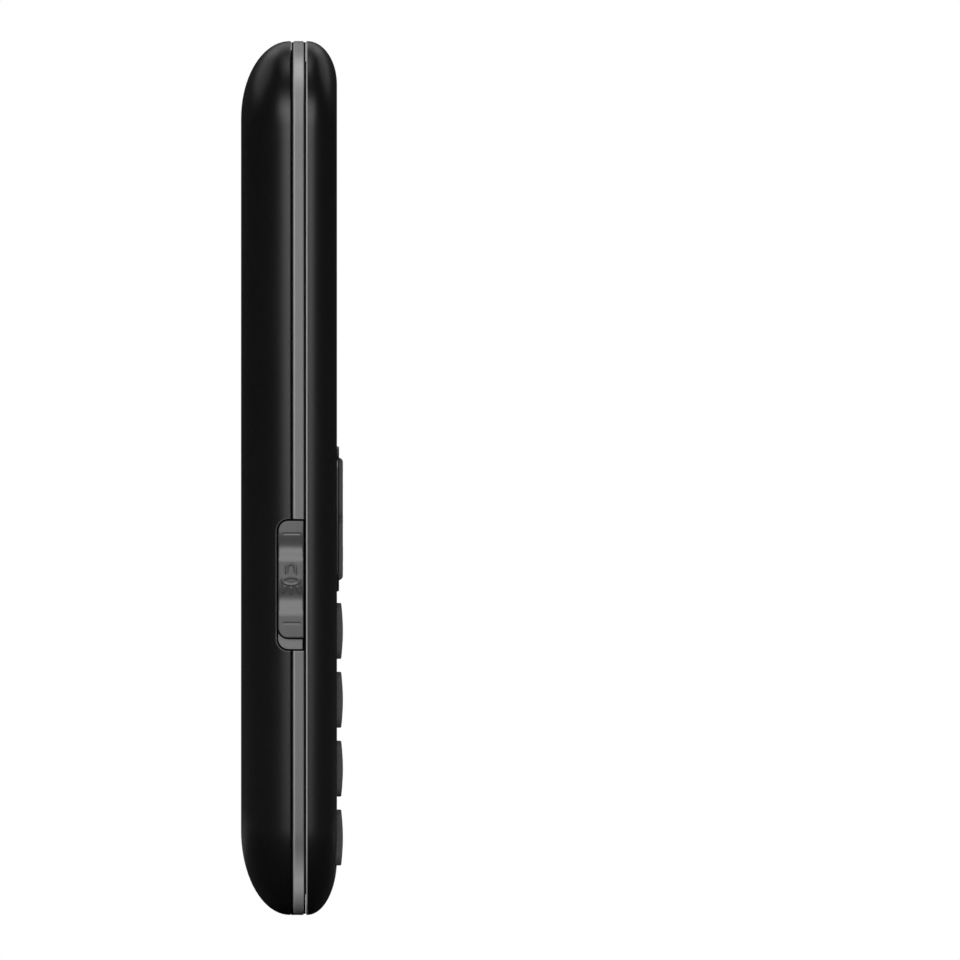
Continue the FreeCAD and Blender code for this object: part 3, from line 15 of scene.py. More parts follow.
import bmesh
import bpy
import numpy as np
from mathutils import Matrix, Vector


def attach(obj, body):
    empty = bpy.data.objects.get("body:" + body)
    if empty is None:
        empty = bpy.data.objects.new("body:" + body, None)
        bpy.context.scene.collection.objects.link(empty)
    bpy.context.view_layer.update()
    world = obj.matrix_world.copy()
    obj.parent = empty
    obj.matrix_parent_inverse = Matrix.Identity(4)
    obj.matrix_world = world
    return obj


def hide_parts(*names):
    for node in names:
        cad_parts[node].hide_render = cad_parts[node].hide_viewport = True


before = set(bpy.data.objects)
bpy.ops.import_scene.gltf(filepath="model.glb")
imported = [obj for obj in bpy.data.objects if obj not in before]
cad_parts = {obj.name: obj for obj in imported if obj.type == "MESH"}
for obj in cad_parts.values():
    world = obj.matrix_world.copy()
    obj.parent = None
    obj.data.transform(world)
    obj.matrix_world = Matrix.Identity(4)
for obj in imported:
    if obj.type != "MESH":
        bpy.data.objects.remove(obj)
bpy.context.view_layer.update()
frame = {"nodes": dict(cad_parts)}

MM = 0.001
POINT_WIDTH = 0.14188           # millimetres across one point of the render
RENDER_POINTS = 960
BODY_MIDDLE = 62.0              # halfway up the phone
PAST = 1.0                      # how far a cutter goes past the surface that it cuts
SEAT = 0.04                     # room behind a piece that is let into another
LEAST_RADIUS = 0.05             # of a rounded shape that is drawn in further than its corners
QUARTER = math.pi / 2

Point = tuple[float, float]
Place = tuple[float, float, float]
Colour = tuple[float, float, float]
log = logging.getLogger("phone")


# ============ shader helpers
class Sum(Enum):
    """Sums that a Math node does."""

    ADD = "ADD"
    SUBTRACT = "SUBTRACT"
    MULTIPLY = "MULTIPLY"
    DIVIDE = "DIVIDE"
    POWER = "POWER"
    MINIMUM = "MINIMUM"
    MAXIMUM = "MAXIMUM"
    ABSOLUTE = "ABSOLUTE"
    SINE = "SINE"


class Wire:
    """An output socket; sums on it add Math nodes."""

    def __init__(self, graph: "Graph", socket: bpy.types.NodeSocket) -> None:
        """Keep the socket and the node tree it belongs to."""
        self.graph = graph
        self.socket = socket

    def __add__(self, other: "Wire | float") -> "Wire":
        """Sum of both."""
        return self.graph.sum(Sum.ADD, self, other)

    __radd__ = __add__

    def __sub__(self, other: "Wire | float") -> "Wire":
        """This less the other."""
        return self.graph.sum(Sum.SUBTRACT, self, other)

    def __rsub__(self, other: float) -> "Wire":
        """The other less this."""
        return self.graph.sum(Sum.SUBTRACT, other, self)

    def __mul__(self, other: "Wire | float") -> "Wire":
        """Product of both."""
        return self.graph.sum(Sum.MULTIPLY, self, other)

    __rmul__ = __mul__

    def __truediv__(self, other: "Wire | float") -> "Wire":
        """This over the other."""
        return self.graph.sum(Sum.DIVIDE, self, other)

    def __rtruediv__(self, other: float) -> "Wire":
        """The other over this."""
        return self.graph.sum(Sum.DIVIDE, other, self)

    def __pow__(self, other: float) -> "Wire":
        """This to a power."""
        return self.graph.sum(Sum.POWER, self, other)

    def size(self) -> "Wire":
        """This without its sign."""
        return self.graph.sum(Sum.ABSOLUTE, self)

    def within(self) -> "Wire":
        """This, kept from 0 to 1."""
        return self.graph.sum(Sum.MINIMUM, self.graph.sum(Sum.MAXIMUM, self, 0.0), 1.0)


Value = Wire | float | Sequence[float]


class Graph:
    """Node tree of one material or of the world."""

    def __init__(self, tree: bpy.types.NodeTree) -> None:
        """Start from an empty tree.

        Args:
            tree: the tree of a material or a world.
        """
        self.tree = tree
        tree.nodes.clear()

    def node(self, kind: str, settings: dict | None = None,
             sockets: dict[str | int, Value] | None = None) -> bpy.types.Node:
        """Add one node.

        Args:
            kind: the node's type.
            settings: its properties, such as a Math node's operation.
            sockets: values or wires of its inputs, by name or number.

        Returns:
            The new node.
        """
        node = self.tree.nodes.new(kind)
        for name, value in (settings or {}).items():
            setattr(node, name, value)
        for name, value in (sockets or {}).items():
            if isinstance(value, Wire):
                self.tree.links.new(value.socket, node.inputs[name])
            else:
                node.inputs[name].default_value = value
        return node

    def wire(self, kind: str, settings: dict | None = None,
             sockets: dict[str | int, Value] | None = None, output: str | int = 0) -> Wire:
        """Add one node and take one of its outputs.

        Args:
            kind: the node's type.
            settings: its properties.
            sockets: values or wires of its inputs.
            output: name or number of the output.

        Returns:
            The output as a wire.
        """
        return Wire(self, self.node(kind, settings, sockets).outputs[output])

    def sum(self, operation: Sum, *values: Wire | float) -> Wire:
        """Math node over one or two values."""
        return self.wire("ShaderNodeMath", {"operation": operation.value}, dict(enumerate(values)))

    def place(self) -> Wire:
        """Position on the piece, in metres."""
        return self.wire("ShaderNodeTexCoord", output="Object")

    def axes(self, place: Wire) -> tuple[Wire, Wire, Wire]:
        """The three parts of a position, in millimetres."""
        node = self.node("ShaderNodeSeparateXYZ", sockets={0: place})
        return tuple(Wire(self, node.outputs[name]) * (1 / MM) for name in "XYZ")

    def noise(self, place: Wire, size: float, detail: float = 2.0, stretch: Place = (1, 1, 1)) -> Wire:
        """Soft random value from 0 to 1.

        Args:
            place: where the value is read.
            size: width of one fleck in millimetres.
            detail: how many finer layers are added.
            stretch: how much faster it changes along each axis.

        Returns:
            The value.
        """
        scaled = self.wire("ShaderNodeVectorMath", {"operation": "MULTIPLY"}, {0: place, 1: stretch})
        return self.wire("ShaderNodeTexNoise", None,
                         {"Vector": scaled, "Scale": 1 / (size * MM), "Detail": detail})

    def mix(self, share: Wire | float, first: Wire | Colour, second: Wire | Colour) -> Wire:
        """Colour between two colours."""
        colours = [value if isinstance(value, Wire) else (*value, 1.0) for value in (first, second)]
        return self.wire("ShaderNodeMix", {"data_type": "RGBA"}, {0: share, 6: colours[0], 7: colours[1]}, 2)

    def band(self, value: Wire, low: float, high: float, soft: float) -> Wire:
        """1 between two levels of a value, falling to 0 over the soft distance outside them.

        Args:
            value: what is measured.
            low: its level where the band starts.
            high: its level where the band ends.
            soft: how far the band fades outside them.

        Returns:
            The share, from 0 to 1.
        """
        rise = ((value - (low - soft)) / soft).within()
        fall = (((high + soft) - value) / soft).within()
        return rise * fall

    def bump(self, height: Wire, depth: float) -> Wire:
        """Normal of a relief that is depth millimetres deep."""
        return self.wire("ShaderNodeBump", None,
                         {"Strength": 1.0, "Distance": depth * MM, "Height": height}, "Normal")

    def wave(self, value: Wire, pitch: float) -> Wire:
        """Sine of a value, which repeats at a pitch in the value's own unit."""
        return self.sum(Sum.SINE, value * (2 * math.pi / pitch))

    def surface(self, sockets: dict[str, Value]) -> None:
        """Finish the material with one plain surface shader."""
        shader = self.wire("ShaderNodeBsdfPrincipled", None, sockets)
        self.node("ShaderNodeOutputMaterial", None, {"Surface": shader})


def shade(colour: Colour, factor: float) -> Colour:
    """A colour made lighter or darker."""
    return tuple(min(1.0, part * factor) for part in colour)


# ============ finishes
@dataclass(frozen=True)
class Finish:
    """What every finish has: a name, a colour and a roughness."""

    name: str
    colour: Colour
    roughness: float = 0.4

    def material(self) -> bpy.types.Material:
        """The material, made once.

        Returns:
            The material.
        """
        made = bpy.data.materials.get(self.name)
        if made is None:
            made = bpy.data.materials.new(self.name)
            made.use_nodes = True
            self.paint(Graph(made.node_tree))
        return made

    def paint(self, graph: Graph) -> None:
        """Fill the material's node tree."""
        raise NotImplementedError


@dataclass(frozen=True)
class MouldedPlastic(Finish):
    """Moulded plastic with a fine grain, and lighter lines painted along edges as highlights.

    Fields:
        grain: size of the grain in millimetres.
        grain_depth: its depth in millimetres.
        mottle: how much the colour wanders.
        specular: strength of the plain reflection.
        coat: weight of a clear coat over it.
        painted_edge_highlights: levels along Y of lighter edges painted as highlights, as low, high and
            colour.
    """

    grain: float = 0.12
    grain_depth: float = 0.0012
    mottle: float = 0.16
    specular: float = 0.5
    coat: float = 0.0
    painted_edge_highlights: tuple[tuple[float, float, Colour], ...] = ()

    def paint(self, graph: Graph) -> None:
        """Grain, cloudy colour and painted edge highlights.

        Args:
            graph: node tree of the material.
        """
        place = graph.place()
        cloud = graph.noise(place, size=14.0, detail=3.0)
        grain = graph.noise(place, size=self.grain, detail=2.0)
        fleck = graph.noise(place, size=self.grain * 5, detail=2.0)
        tone = (cloud * 0.6 + fleck * 0.4).within()
        base = graph.mix(tone, shade(self.colour, 1 - self.mottle), shade(self.colour, 1 + self.mottle))
        # painted highlight: lighter base colour over a band of depths along an edge
        for low, high, colour in self.painted_edge_highlights:
            _, depth, _ = graph.axes(place)
            line = graph.mix(cloud, shade(colour, 0.9), shade(colour, 1.1))
            base = graph.mix(graph.band(depth, low, high, soft=0.02), base, line)
        rough = (cloud - 0.5) * 0.08 + (grain - 0.5) * 0.06 + self.roughness
        graph.surface({
            "Base Color": base,
            "Roughness": rough,
            "Specular IOR Level": self.specular,
            "Coat Weight": self.coat,
            "Coat Roughness": 0.12,
            "Normal": graph.bump(grain, depth=self.grain_depth),
        })


@dataclass(frozen=True)
class SatinBandCoat(Finish):
    """Satin metallic coat: fine flakes in colour, gloss and relief.

    Fields:
        metallic: how metallic it is.
        flake: size of a flake in millimetres.
        painted_edge_highlight: levels along Y of a painted highlight on an edge, and how much lighter it is.
        painted_end_highlights: distances from the phone's middle of a painted highlight near each rounded
            end, and how much brighter it is.
    """

    metallic: float = 0.12
    flake: float = 0.09
    painted_edge_highlight: tuple[float, float, float] | None = None
    painted_end_highlights: tuple[float, float, float] | None = None

    def paint(self, graph: Graph) -> None:
        """Flakes over a slightly cloudy coat, a painted edge highlight and painted highlights where the band
        curves round the ends.

        Args:
            graph: node tree of the material.
        """
        place = graph.place()
        _, depth, up = graph.axes(place)
        flake = graph.noise(place, size=self.flake, detail=1.0)
        cloud = graph.noise(place, size=22.0, detail=2.0)
        tone = (flake * 0.5 + cloud * 0.5).within()
        base = graph.mix(tone, shade(self.colour, 0.9), shade(self.colour, 1.1))
        # painted highlight along one edge, as lighter base colour
        if self.painted_edge_highlight:
            low, high, lighter = self.painted_edge_highlight
            bright = graph.mix(cloud, shade(self.colour, lighter * 0.94), shade(self.colour, lighter * 1.06))
            base = graph.mix(graph.band(depth, low, high, soft=0.02), base, bright)
        # painted highlights near the rounded ends: brighter base colour by distance from the middle
        if self.painted_end_highlights:
            low, high, lighter = self.painted_end_highlights
            away = (up - BODY_MIDDLE).size()
            end_highlight_share = graph.band(away, low, high, soft=5.0) ** 1.5
            base = graph.mix(end_highlight_share, base, shade(self.colour, lighter))
        graph.surface({
            "Base Color": base,
            "Metallic": (flake - 0.5) * 0.2 + self.metallic,
            "Roughness": (flake - 0.5) * 0.08 + (cloud - 0.5) * 0.05 + self.roughness,
            "Normal": graph.bump(flake, depth=0.0008),
        })


@dataclass(frozen=True)
class DisplayWindow(Finish):
    """Glossy window: clear over the display, printed black round it."""

    screen: Colour = (0.030, 0.036, 0.042)
    screen_box: tuple[float, float, float, float] = (-15.3, 15.3, 70.8, 111.6)
    pixel: float = 0.13

    def paint(self, graph: Graph) -> None:
        """The screen's faint pixel grid under the gloss, inside the printed surround.

        Args:
            graph: node tree of the material.
        """
        place = graph.place()
        across, _, up = graph.axes(place)
        low_x, high_x, low_z, high_z = self.screen_box
        inside = graph.band(across, low_x, high_x, soft=0.05) * graph.band(up, low_z, high_z, soft=0.05)
        columns = graph.wave(across, self.pixel) * 0.5 + 0.5
        rows = graph.wave(up, self.pixel) * 0.5 + 0.5
        grid = columns * rows * 0.35 + 0.65
        cloud = graph.noise(place, size=30.0, detail=2.0)
        lightest = graph.mix(cloud, self.screen, shade(self.screen, 1.25))
        pixels = graph.mix(grid, shade(self.screen, 0.6), lightest)
        surround = graph.mix(cloud, shade(self.colour, 0.85), shade(self.colour, 1.1))
        smear = graph.noise(place, size=18.0, detail=4.0, stretch=(1.0, 1.0, 2.5))
        graph.surface({
            "Base Color": graph.mix(inside, surround, pixels),
            "Roughness": smear * 0.05 + self.roughness,
            "IOR": 1.49,
            "Coat Weight": 0.3,
            "Coat Roughness": 0.03,
        })


@dataclass(frozen=True)
class LensGlass(Finish):
    """Camera window: a black printed ring round a clear middle with the lens behind it."""

    centre: Point = (-9.6, 100.0)
    clear_radius: float = 1.7
    glass: Colour = (0.035, 0.030, 0.055)
    pupil: Colour = (0.004, 0.004, 0.006)
    rim: Colour = (0.10, 0.10, 0.105)

    def paint(self, graph: Graph) -> None:
        """Rings by the distance from the middle.

        Args:
            graph: node tree of the material.
        """
        place = graph.place()
        across, _, up = graph.axes(place)
        away = ((across - self.centre[0]) ** 2.0 + (up - self.centre[1]) ** 2.0) ** 0.5
        clear = self.clear_radius
        inside = graph.band(away, -clear, clear, soft=0.05)
        pupil = graph.band(away, -clear, clear * 0.45, soft=0.08)
        rim = graph.band(away, clear * 0.9, clear, soft=0.03)
        cloud = graph.noise(place, size=6.0, detail=2.0)
        base = graph.mix(inside, graph.mix(cloud, self.colour, shade(self.colour, 1.3)), self.glass)
        base = graph.mix(pupil, base, self.pupil)
        base = graph.mix(rim, base, self.rim)
        graph.surface({"Base Color": base, "Roughness": cloud * 0.04 + self.roughness, "IOR": 1.5})


@dataclass(frozen=True)
class ClearPlastic(Finish):
    """Clear or milky moulding, lit through: a light body colour with a wavy gloss."""

    transmission: float = 0.4

    def paint(self, graph: Graph) -> None:
        """Milky clouds and faint flow lines.

        Args:
            graph: node tree of the material.
        """
        place = graph.place()
        cloud = graph.noise(place, size=2.5, detail=3.0)
        flow = graph.noise(place, size=0.8, detail=2.0, stretch=(0.3, 1.0, 1.0))
        graph.surface({
            "Base Color": graph.mix(cloud, shade(self.colour, 0.85), self.colour),
            "Roughness": flow * 0.12 + self.roughness,
            "Transmission Weight": self.transmission,
            "IOR": 1.45,
            "Normal": graph.bump(flow, depth=0.006),
        })


@dataclass(frozen=True)
class Metal(Finish):
    """Plated or drawn metal with fine lines along one axis."""

    stretch: Place = (1.0, 1.0, 12.0)
    line: float = 0.5

    def paint(self, graph: Graph) -> None:
        """Drawn lines in gloss and relief, and a faint tarnish.

        Args:
            graph: node tree of the material.
        """
        place = graph.place()
        lines = graph.noise(place, size=self.line, detail=3.0, stretch=self.stretch)
        tarnish = graph.noise(place, size=5.0, detail=3.0)
        graph.surface({
            "Base Color": graph.mix(tarnish, shade(self.colour, 0.82), self.colour),
            "Metallic": 1.0,
            "Roughness": (lines - 0.5) * 0.2 + self.roughness,
            "Normal": graph.bump(lines, depth=0.003),
        })


@dataclass(frozen=True)
class WovenMesh(Finish):
    """Fine mesh: round holes between crossing wires."""

    pitch: float = 0.28

    def paint(self, graph: Graph) -> None:
        """Wires from two sets of waves.

        Args:
            graph: node tree of the material.
        """
        place = graph.place()
        across, _, up = graph.axes(place)
        warp = graph.wave(across + up, self.pitch)
        weft = graph.wave(across - up, self.pitch)
        wires = (warp * weft * 0.5 + 0.5).within()
        dust = graph.noise(place, size=0.6, detail=3.0)
        strand = graph.mix(dust, shade(self.colour, 0.8), self.colour)
        graph.surface({
            "Base Color": graph.mix(wires, shade(self.colour, 0.15), strand),
            "Metallic": wires * 0.7,
            "Roughness": (1 - wires) * 0.4 + self.roughness,
            "Normal": graph.bump(wires, depth=0.05),
        })


@dataclass(frozen=True)
class BoardMask(Finish):
    """Solder mask over copper tracks, with tinned pads."""

    copper: Colour = (0.09, 0.30, 0.15)
    tin: Colour = (0.62, 0.61, 0.58)
    track_pitch: float = 0.9
    pad_pitch: float = 2.4

    def paint(self, graph: Graph) -> None:
        """Tracks from stepped waves, pads from cells.

        Args:
            graph: node tree of the material.
        """
        place = graph.place()
        across, _, up = graph.axes(place)
        drift = graph.noise(place, size=7.0, detail=0.0) * 6
        tracks = (graph.wave(across + drift, self.track_pitch) * 6 - 2).within()
        cells = graph.wire(
            "ShaderNodeTexVoronoi", {"distance": "CHEBYCHEV"},
            {"Vector": place, "Scale": 1 / (self.pad_pitch * MM), "Randomness": 0.35}, "Distance")
        pads = ((0.16 - cells) * 40).within()
        base = graph.mix(tracks * 0.6, self.colour, self.copper)
        graph.surface({
            "Base Color": graph.mix(pads, base, self.tin),
            "Metallic": pads,
            "Roughness": (1 - pads) * 0.05 + self.roughness,
            "Normal": graph.bump(tracks + pads, depth=0.03),
        })


@dataclass(frozen=True)
class KeyPrint(Finish):
    """Printed ink: slightly uneven in tone, with a soft sheen."""

    def paint(self, graph: Graph) -> None:
        """Speckled ink.

        Args:
            graph: node tree of the material.
        """
        place = graph.place()
        speck = graph.noise(place, size=0.25, detail=3.0)
        graph.surface({
            "Base Color": graph.mix(speck, shade(self.colour, 0.86), self.colour),
            "Roughness": speck * 0.15 + self.roughness,
            "Normal": graph.bump(speck, depth=0.003),
        })


@dataclass(frozen=True)
class PaperFloor(Finish):
    """Pale paper that keeps the phone's shadow near it and is plain white further off."""

    near: float = 0.16
    far: float = 0.42

    def paint(self, graph: Graph) -> None:
        """Matt paper, with a white camera-only surface away from the phone.

        Args:
            graph: node tree of the material.
        """
        place = graph.place()
        fibre = graph.noise(place, size=1.6, detail=4.0)
        away = graph.wire("ShaderNodeVectorMath", {"operation": "LENGTH"}, {0: place}, "Value")
        paper = graph.wire("ShaderNodeBsdfDiffuse", None,
                           {"Color": graph.mix(fibre, shade(self.colour, 0.985), self.colour)})
        white = graph.wire("ShaderNodeEmission", None, {"Color": (1.0, 1.0, 1.0, 1.0), "Strength": 1.0})
        seen = graph.wire("ShaderNodeLightPath", output="Is Camera Ray")
        share = ((away - self.near) / (self.far - self.near)).within() * seen
        mixed = graph.wire("ShaderNodeMixShader", None, {0: share, 1: paper, 2: white})
        graph.node("ShaderNodeOutputMaterial", None, {"Surface": mixed})


class Finishes:
    """The phone's finishes."""

    # colour of the painted highlight on the front rim's bevel
    RIM_HIGHLIGHT: Colour = (0.24, 0.24, 0.24)
    back = MouldedPlastic("housing_back_black", (0.0022, 0.0022, 0.0023), 0.32)
    # the front rim's bevel carries a painted highlight line
    front = MouldedPlastic("housing_front_black", (0.0022, 0.0022, 0.0023), 0.32,
                           painted_edge_highlights=((-2.16, -2.0, RIM_HIGHLIGHT),))
    # lighter plastic: a painted highlight on the broken edge round the torch recess
    lip = MouldedPlastic("housing_edge_painted_highlight", (0.06, 0.06, 0.06), 0.3)
    chassis = MouldedPlastic("chassis_black", (0.028, 0.028, 0.029), 0.5, grain=0.2, grain_depth=0.004)
    keys = MouldedPlastic("key_black", (0.004, 0.004, 0.0042), 0.40, grain=0.1, specular=0.2)
    frame = MouldedPlastic("nav_frame_gloss", (0.004, 0.004, 0.0044), 0.16, grain_depth=0.0004, coat=0.4)
    speaker = MouldedPlastic("speaker_can", (0.03, 0.03, 0.031), 0.45, grain=0.3, grain_depth=0.006)
    ivory = MouldedPlastic("ivory_block", (0.72, 0.70, 0.63), 0.45, grain_depth=0.003)
    led = MouldedPlastic("lamp_package", (0.86, 0.78, 0.42), 0.3, grain=0.3, mottle=0.08)
    panel = MouldedPlastic("display_panel", (0.022, 0.026, 0.034), 0.22, grain_depth=0.0005)
    # the band's back bevel and its stretches round the ends carry painted highlights
    band = SatinBandCoat("band_satin_grey", (0.098, 0.098, 0.0992), 0.36, painted_edge_highlight=(-0.42, -0.1, 1.9),
                         painted_end_highlights=(57.0, 58.5, 2.9))
    # painted shade: near-black and almost without gloss, for grooves, gaps and trenches
    seam_shade = MouldedPlastic("seam_shadow_black", (0.002, 0.002, 0.002), 0.9, specular=0.02)
    # lighter coat: a painted highlight on the band's broken edges at the torch recess
    band_edge_highlight = SatinBandCoat("band_edge_painted_highlight", (0.2, 0.2, 0.2025), 0.34)
    slide_floor = SatinBandCoat("slide_floor_grey", (0.11, 0.11, 0.1115), 0.42, metallic=0.0)
    slider = SatinBandCoat("slider_satin_grey", (0.085, 0.085, 0.086), 0.34, metallic=0.6)
    window = DisplayWindow("display_window_gloss", (0.006, 0.006, 0.007), 0.05)
    lens = LensGlass("camera_window_gloss", (0.006, 0.006, 0.007), 0.04)
    torch = ClearPlastic("torch_lens_clear", (0.86, 0.88, 0.90), 0.08)
    silicone = ClearPlastic("keypad_silicone", (0.62, 0.62, 0.58), 0.45, transmission=0.0)
    steel = Metal("plated_steel", (0.62, 0.62, 0.63), 0.3)
    domes = Metal("dome_steel", (0.70, 0.70, 0.70), 0.26, stretch=(1.0, 1.0, 1.0))
    battery = Metal("battery_can", (0.50, 0.51, 0.53), 0.38, stretch=(0.2, 1.0, 1.0), line=0.8)
    mesh = WovenMesh("fine_mesh", (0.13, 0.13, 0.13), 0.4)
    board = BoardMask("board_green", (0.022, 0.12, 0.055), 0.3)
    ink = KeyPrint("key_ink_white", (0.80, 0.80, 0.79), 0.45)
    ink_call = KeyPrint("key_ink_green", (0.06, 0.50, 0.14), 0.45)
    ink_end = KeyPrint("key_ink_red", (0.62, 0.04, 0.035), 0.45)


# ============ outlines and forms
def rounded_rectangle(width: float, height: float, radius: float, centre: Point,
                      steps: int = 8, runs: tuple[int, int] = (1, 1)) -> list[Point]:
    """Closed outline of a rounded rectangle, anticlockwise from the right side's upper end.

    Args:
        width: size across.
        height: size up.
        radius: of the corners.
        centre: its middle.
        steps: flats in each corner.
        runs: flats along a level side and along an upright side.

    Returns:
        The points.
    """
    points: list[Point] = []
    signs = ((1, 1), (-1, 1), (-1, -1), (1, -1))
    inner_u, inner_v = width / 2 - radius, height / 2 - radius
    middles = [(centre[0] + a * inner_u, centre[1] + b * inner_v) for a, b in signs]
    for quarter, (u, v) in enumerate(middles):
        for step in range(steps + 1):
            turn = QUARTER * (quarter + step / steps)
            points.append((u + radius * math.cos(turn), v + radius * math.sin(turn)))
        turn = QUARTER * (quarter + 1)
        next_u, next_v = middles[(quarter + 1) % 4]
        end = (next_u + radius * math.cos(turn), next_v + radius * math.sin(turn))
        last, pieces = points[-1], runs[quarter % 2]
        points += [(last[0] + (end[0] - last[0]) * k / pieces, last[1] + (end[1] - last[1]) * k / pieces)
                   for k in range(1, pieces)]
    return points


def filleted(corners: Sequence[tuple[float, float, float]], steps: int = 6) -> list[Point]:
    """Closed outline through corners, each rounded by its own radius.

    Args:
        corners: place and radius of each corner, in order.
        steps: flats in each round.

    Returns:
        The points.
    """
    points: list[Point] = []
    count = len(corners)
    for index, (u, v, radius) in enumerate(corners):
        if radius == 0:
            points.append((u, v))
            continue
        here = Vector((u, v))
        before = (Vector(corners[index - 1][:2]) - here).normalized()
        after = (Vector(corners[(index + 1) % count][:2]) - here).normalized()
        half = before.angle(after) / 2
        start = here + before * radius / math.tan(half)
        centre = here + (before + after).normalized() * radius / math.sin(half)
        spoke = start - centre
        turn = math.pi - 2 * half
        side = 1 if before.x * after.y - before.y * after.x < 0 else -1
        for step in range(steps + 1):
            angle = side * turn * step / steps
            cosine, sine = math.cos(angle), math.sin(angle)
            points.append((centre.x + spoke.x * cosine - spoke.y * sine,
                           centre.y + spoke.x * sine + spoke.y * cosine))
    return points


def drawn_in(points: Sequence[Point], distance: float) -> list[Point]:
    """An anticlockwise outline moved inwards.

    Args:
        points: the outline.
        distance: how far it moves.

    Returns:
        The new outline.
    """
    moved: list[Point] = []
    count = len(points)
    for index in range(count):
        here = Vector(points[index])
        ahead = (Vector(points[(index + 1) % count]) - here).normalized()
        behind = (here - Vector(points[index - 1])).normalized()
        inward = (Vector((-behind.y, behind.x)) + Vector((-ahead.y, ahead.x))).normalized()
        reach = distance / max(0.4, inward.dot(Vector((-ahead.y, ahead.x))))
        moved.append((here.x + inward.x * reach, here.y + inward.y * reach))
    return moved


def stroke(path: Sequence[Point], widths: Sequence[float]) -> list[Point]:
    """Outline of a line that is as wide as asked at each of its points.

    Args:
        path: the line's points.
        widths: its width at each of them.

    Returns:
        The closed outline.
    """
    left: list[Point] = []
    right: list[Point] = []
    for index, (u, v) in enumerate(path):
        ahead = Vector(path[min(index + 1, len(path) - 1)]) - Vector(path[max(index - 1, 0)])
        side = Vector((-ahead.y, ahead.x)).normalized() * widths[index] / 2
        left.append((u + side.x, v + side.y))
        right.append((u - side.x, v - side.y))
    return right + left[::-1]


def at_depth(points: Iterable[Point], y: float) -> list[Place]:
    """An outline seen from the front, put at one depth."""
    return [(u, y, v) for u, v in points]


def at_height(points: Iterable[Point], z: float) -> list[Place]:
    """An outline seen from an end, put at one height."""
    return [(u, v, z) for u, v in points]


def at_side(points: Iterable[Point], x: float) -> list[Place]:
    """An outline seen from a side, put at one place across the phone."""
    return [(x, y, z) for y, z in points]


def circle(centre: Point, radius: float, steps: int = 24) -> list[Point]:
    """Closed outline of a circle."""
    turns = [2 * math.pi * step / steps for step in range(steps)]
    return [(centre[0] + radius * math.cos(turn), centre[1] + radius * math.sin(turn)) for turn in turns]


def quarter_round(radius: float, steps: int) -> list[Point]:
    """Inset and sink of a rounded edge, from the wall to the face."""
    turns = [QUARTER * step / steps for step in range(steps + 1)]
    return [(radius * (1 - math.cos(turn)), radius * (1 - math.sin(turn))) for turn in turns]


@dataclass(frozen=True)
class RoundedShape:
    """A rounded rectangle seen from the front, which is grown or drawn in from step to step.

    Fields:
        width: size across.
        height: size up.
        radius: of the corners.
        centre: its middle.
        steps: flats in each corner.
        runs: flats along a level side and along an upright side.
    """

    width: float
    height: float
    radius: float
    centre: Point
    steps: int = 10
    runs: tuple[int, int] = (1, 1)

    def drawn_in(self, inset: float) -> list[Point]:
        """The outline, drawn in."""
        return rounded_rectangle(self.width - 2 * inset, self.height - 2 * inset,
                                 max(LEAST_RADIUS, self.radius - inset), self.centre, self.steps, self.runs)

    def grown(self, distance: float) -> list[Point]:
        """The outline, moved outwards."""
        return self.drawn_in(-distance)

    def rings(self, level: float, profile: Iterable[Point]) -> list[list[Place]]:
        """Rings by the inset of each step and its depth from a level."""
        return [at_depth(self.drawn_in(inset), level + sunk) for inset, sunk in profile]


def put_in_scene(name: str, data: bpy.types.ID) -> bpy.types.Object:
    """Make an object of its data and link it into the scene.

    Args:
        name: the object's name.
        data: its mesh, curve, lamp or lens.

    Returns:
        The object.
    """
    made = bpy.data.objects.new(name, data)
    bpy.context.scene.collection.objects.link(made)
    return made


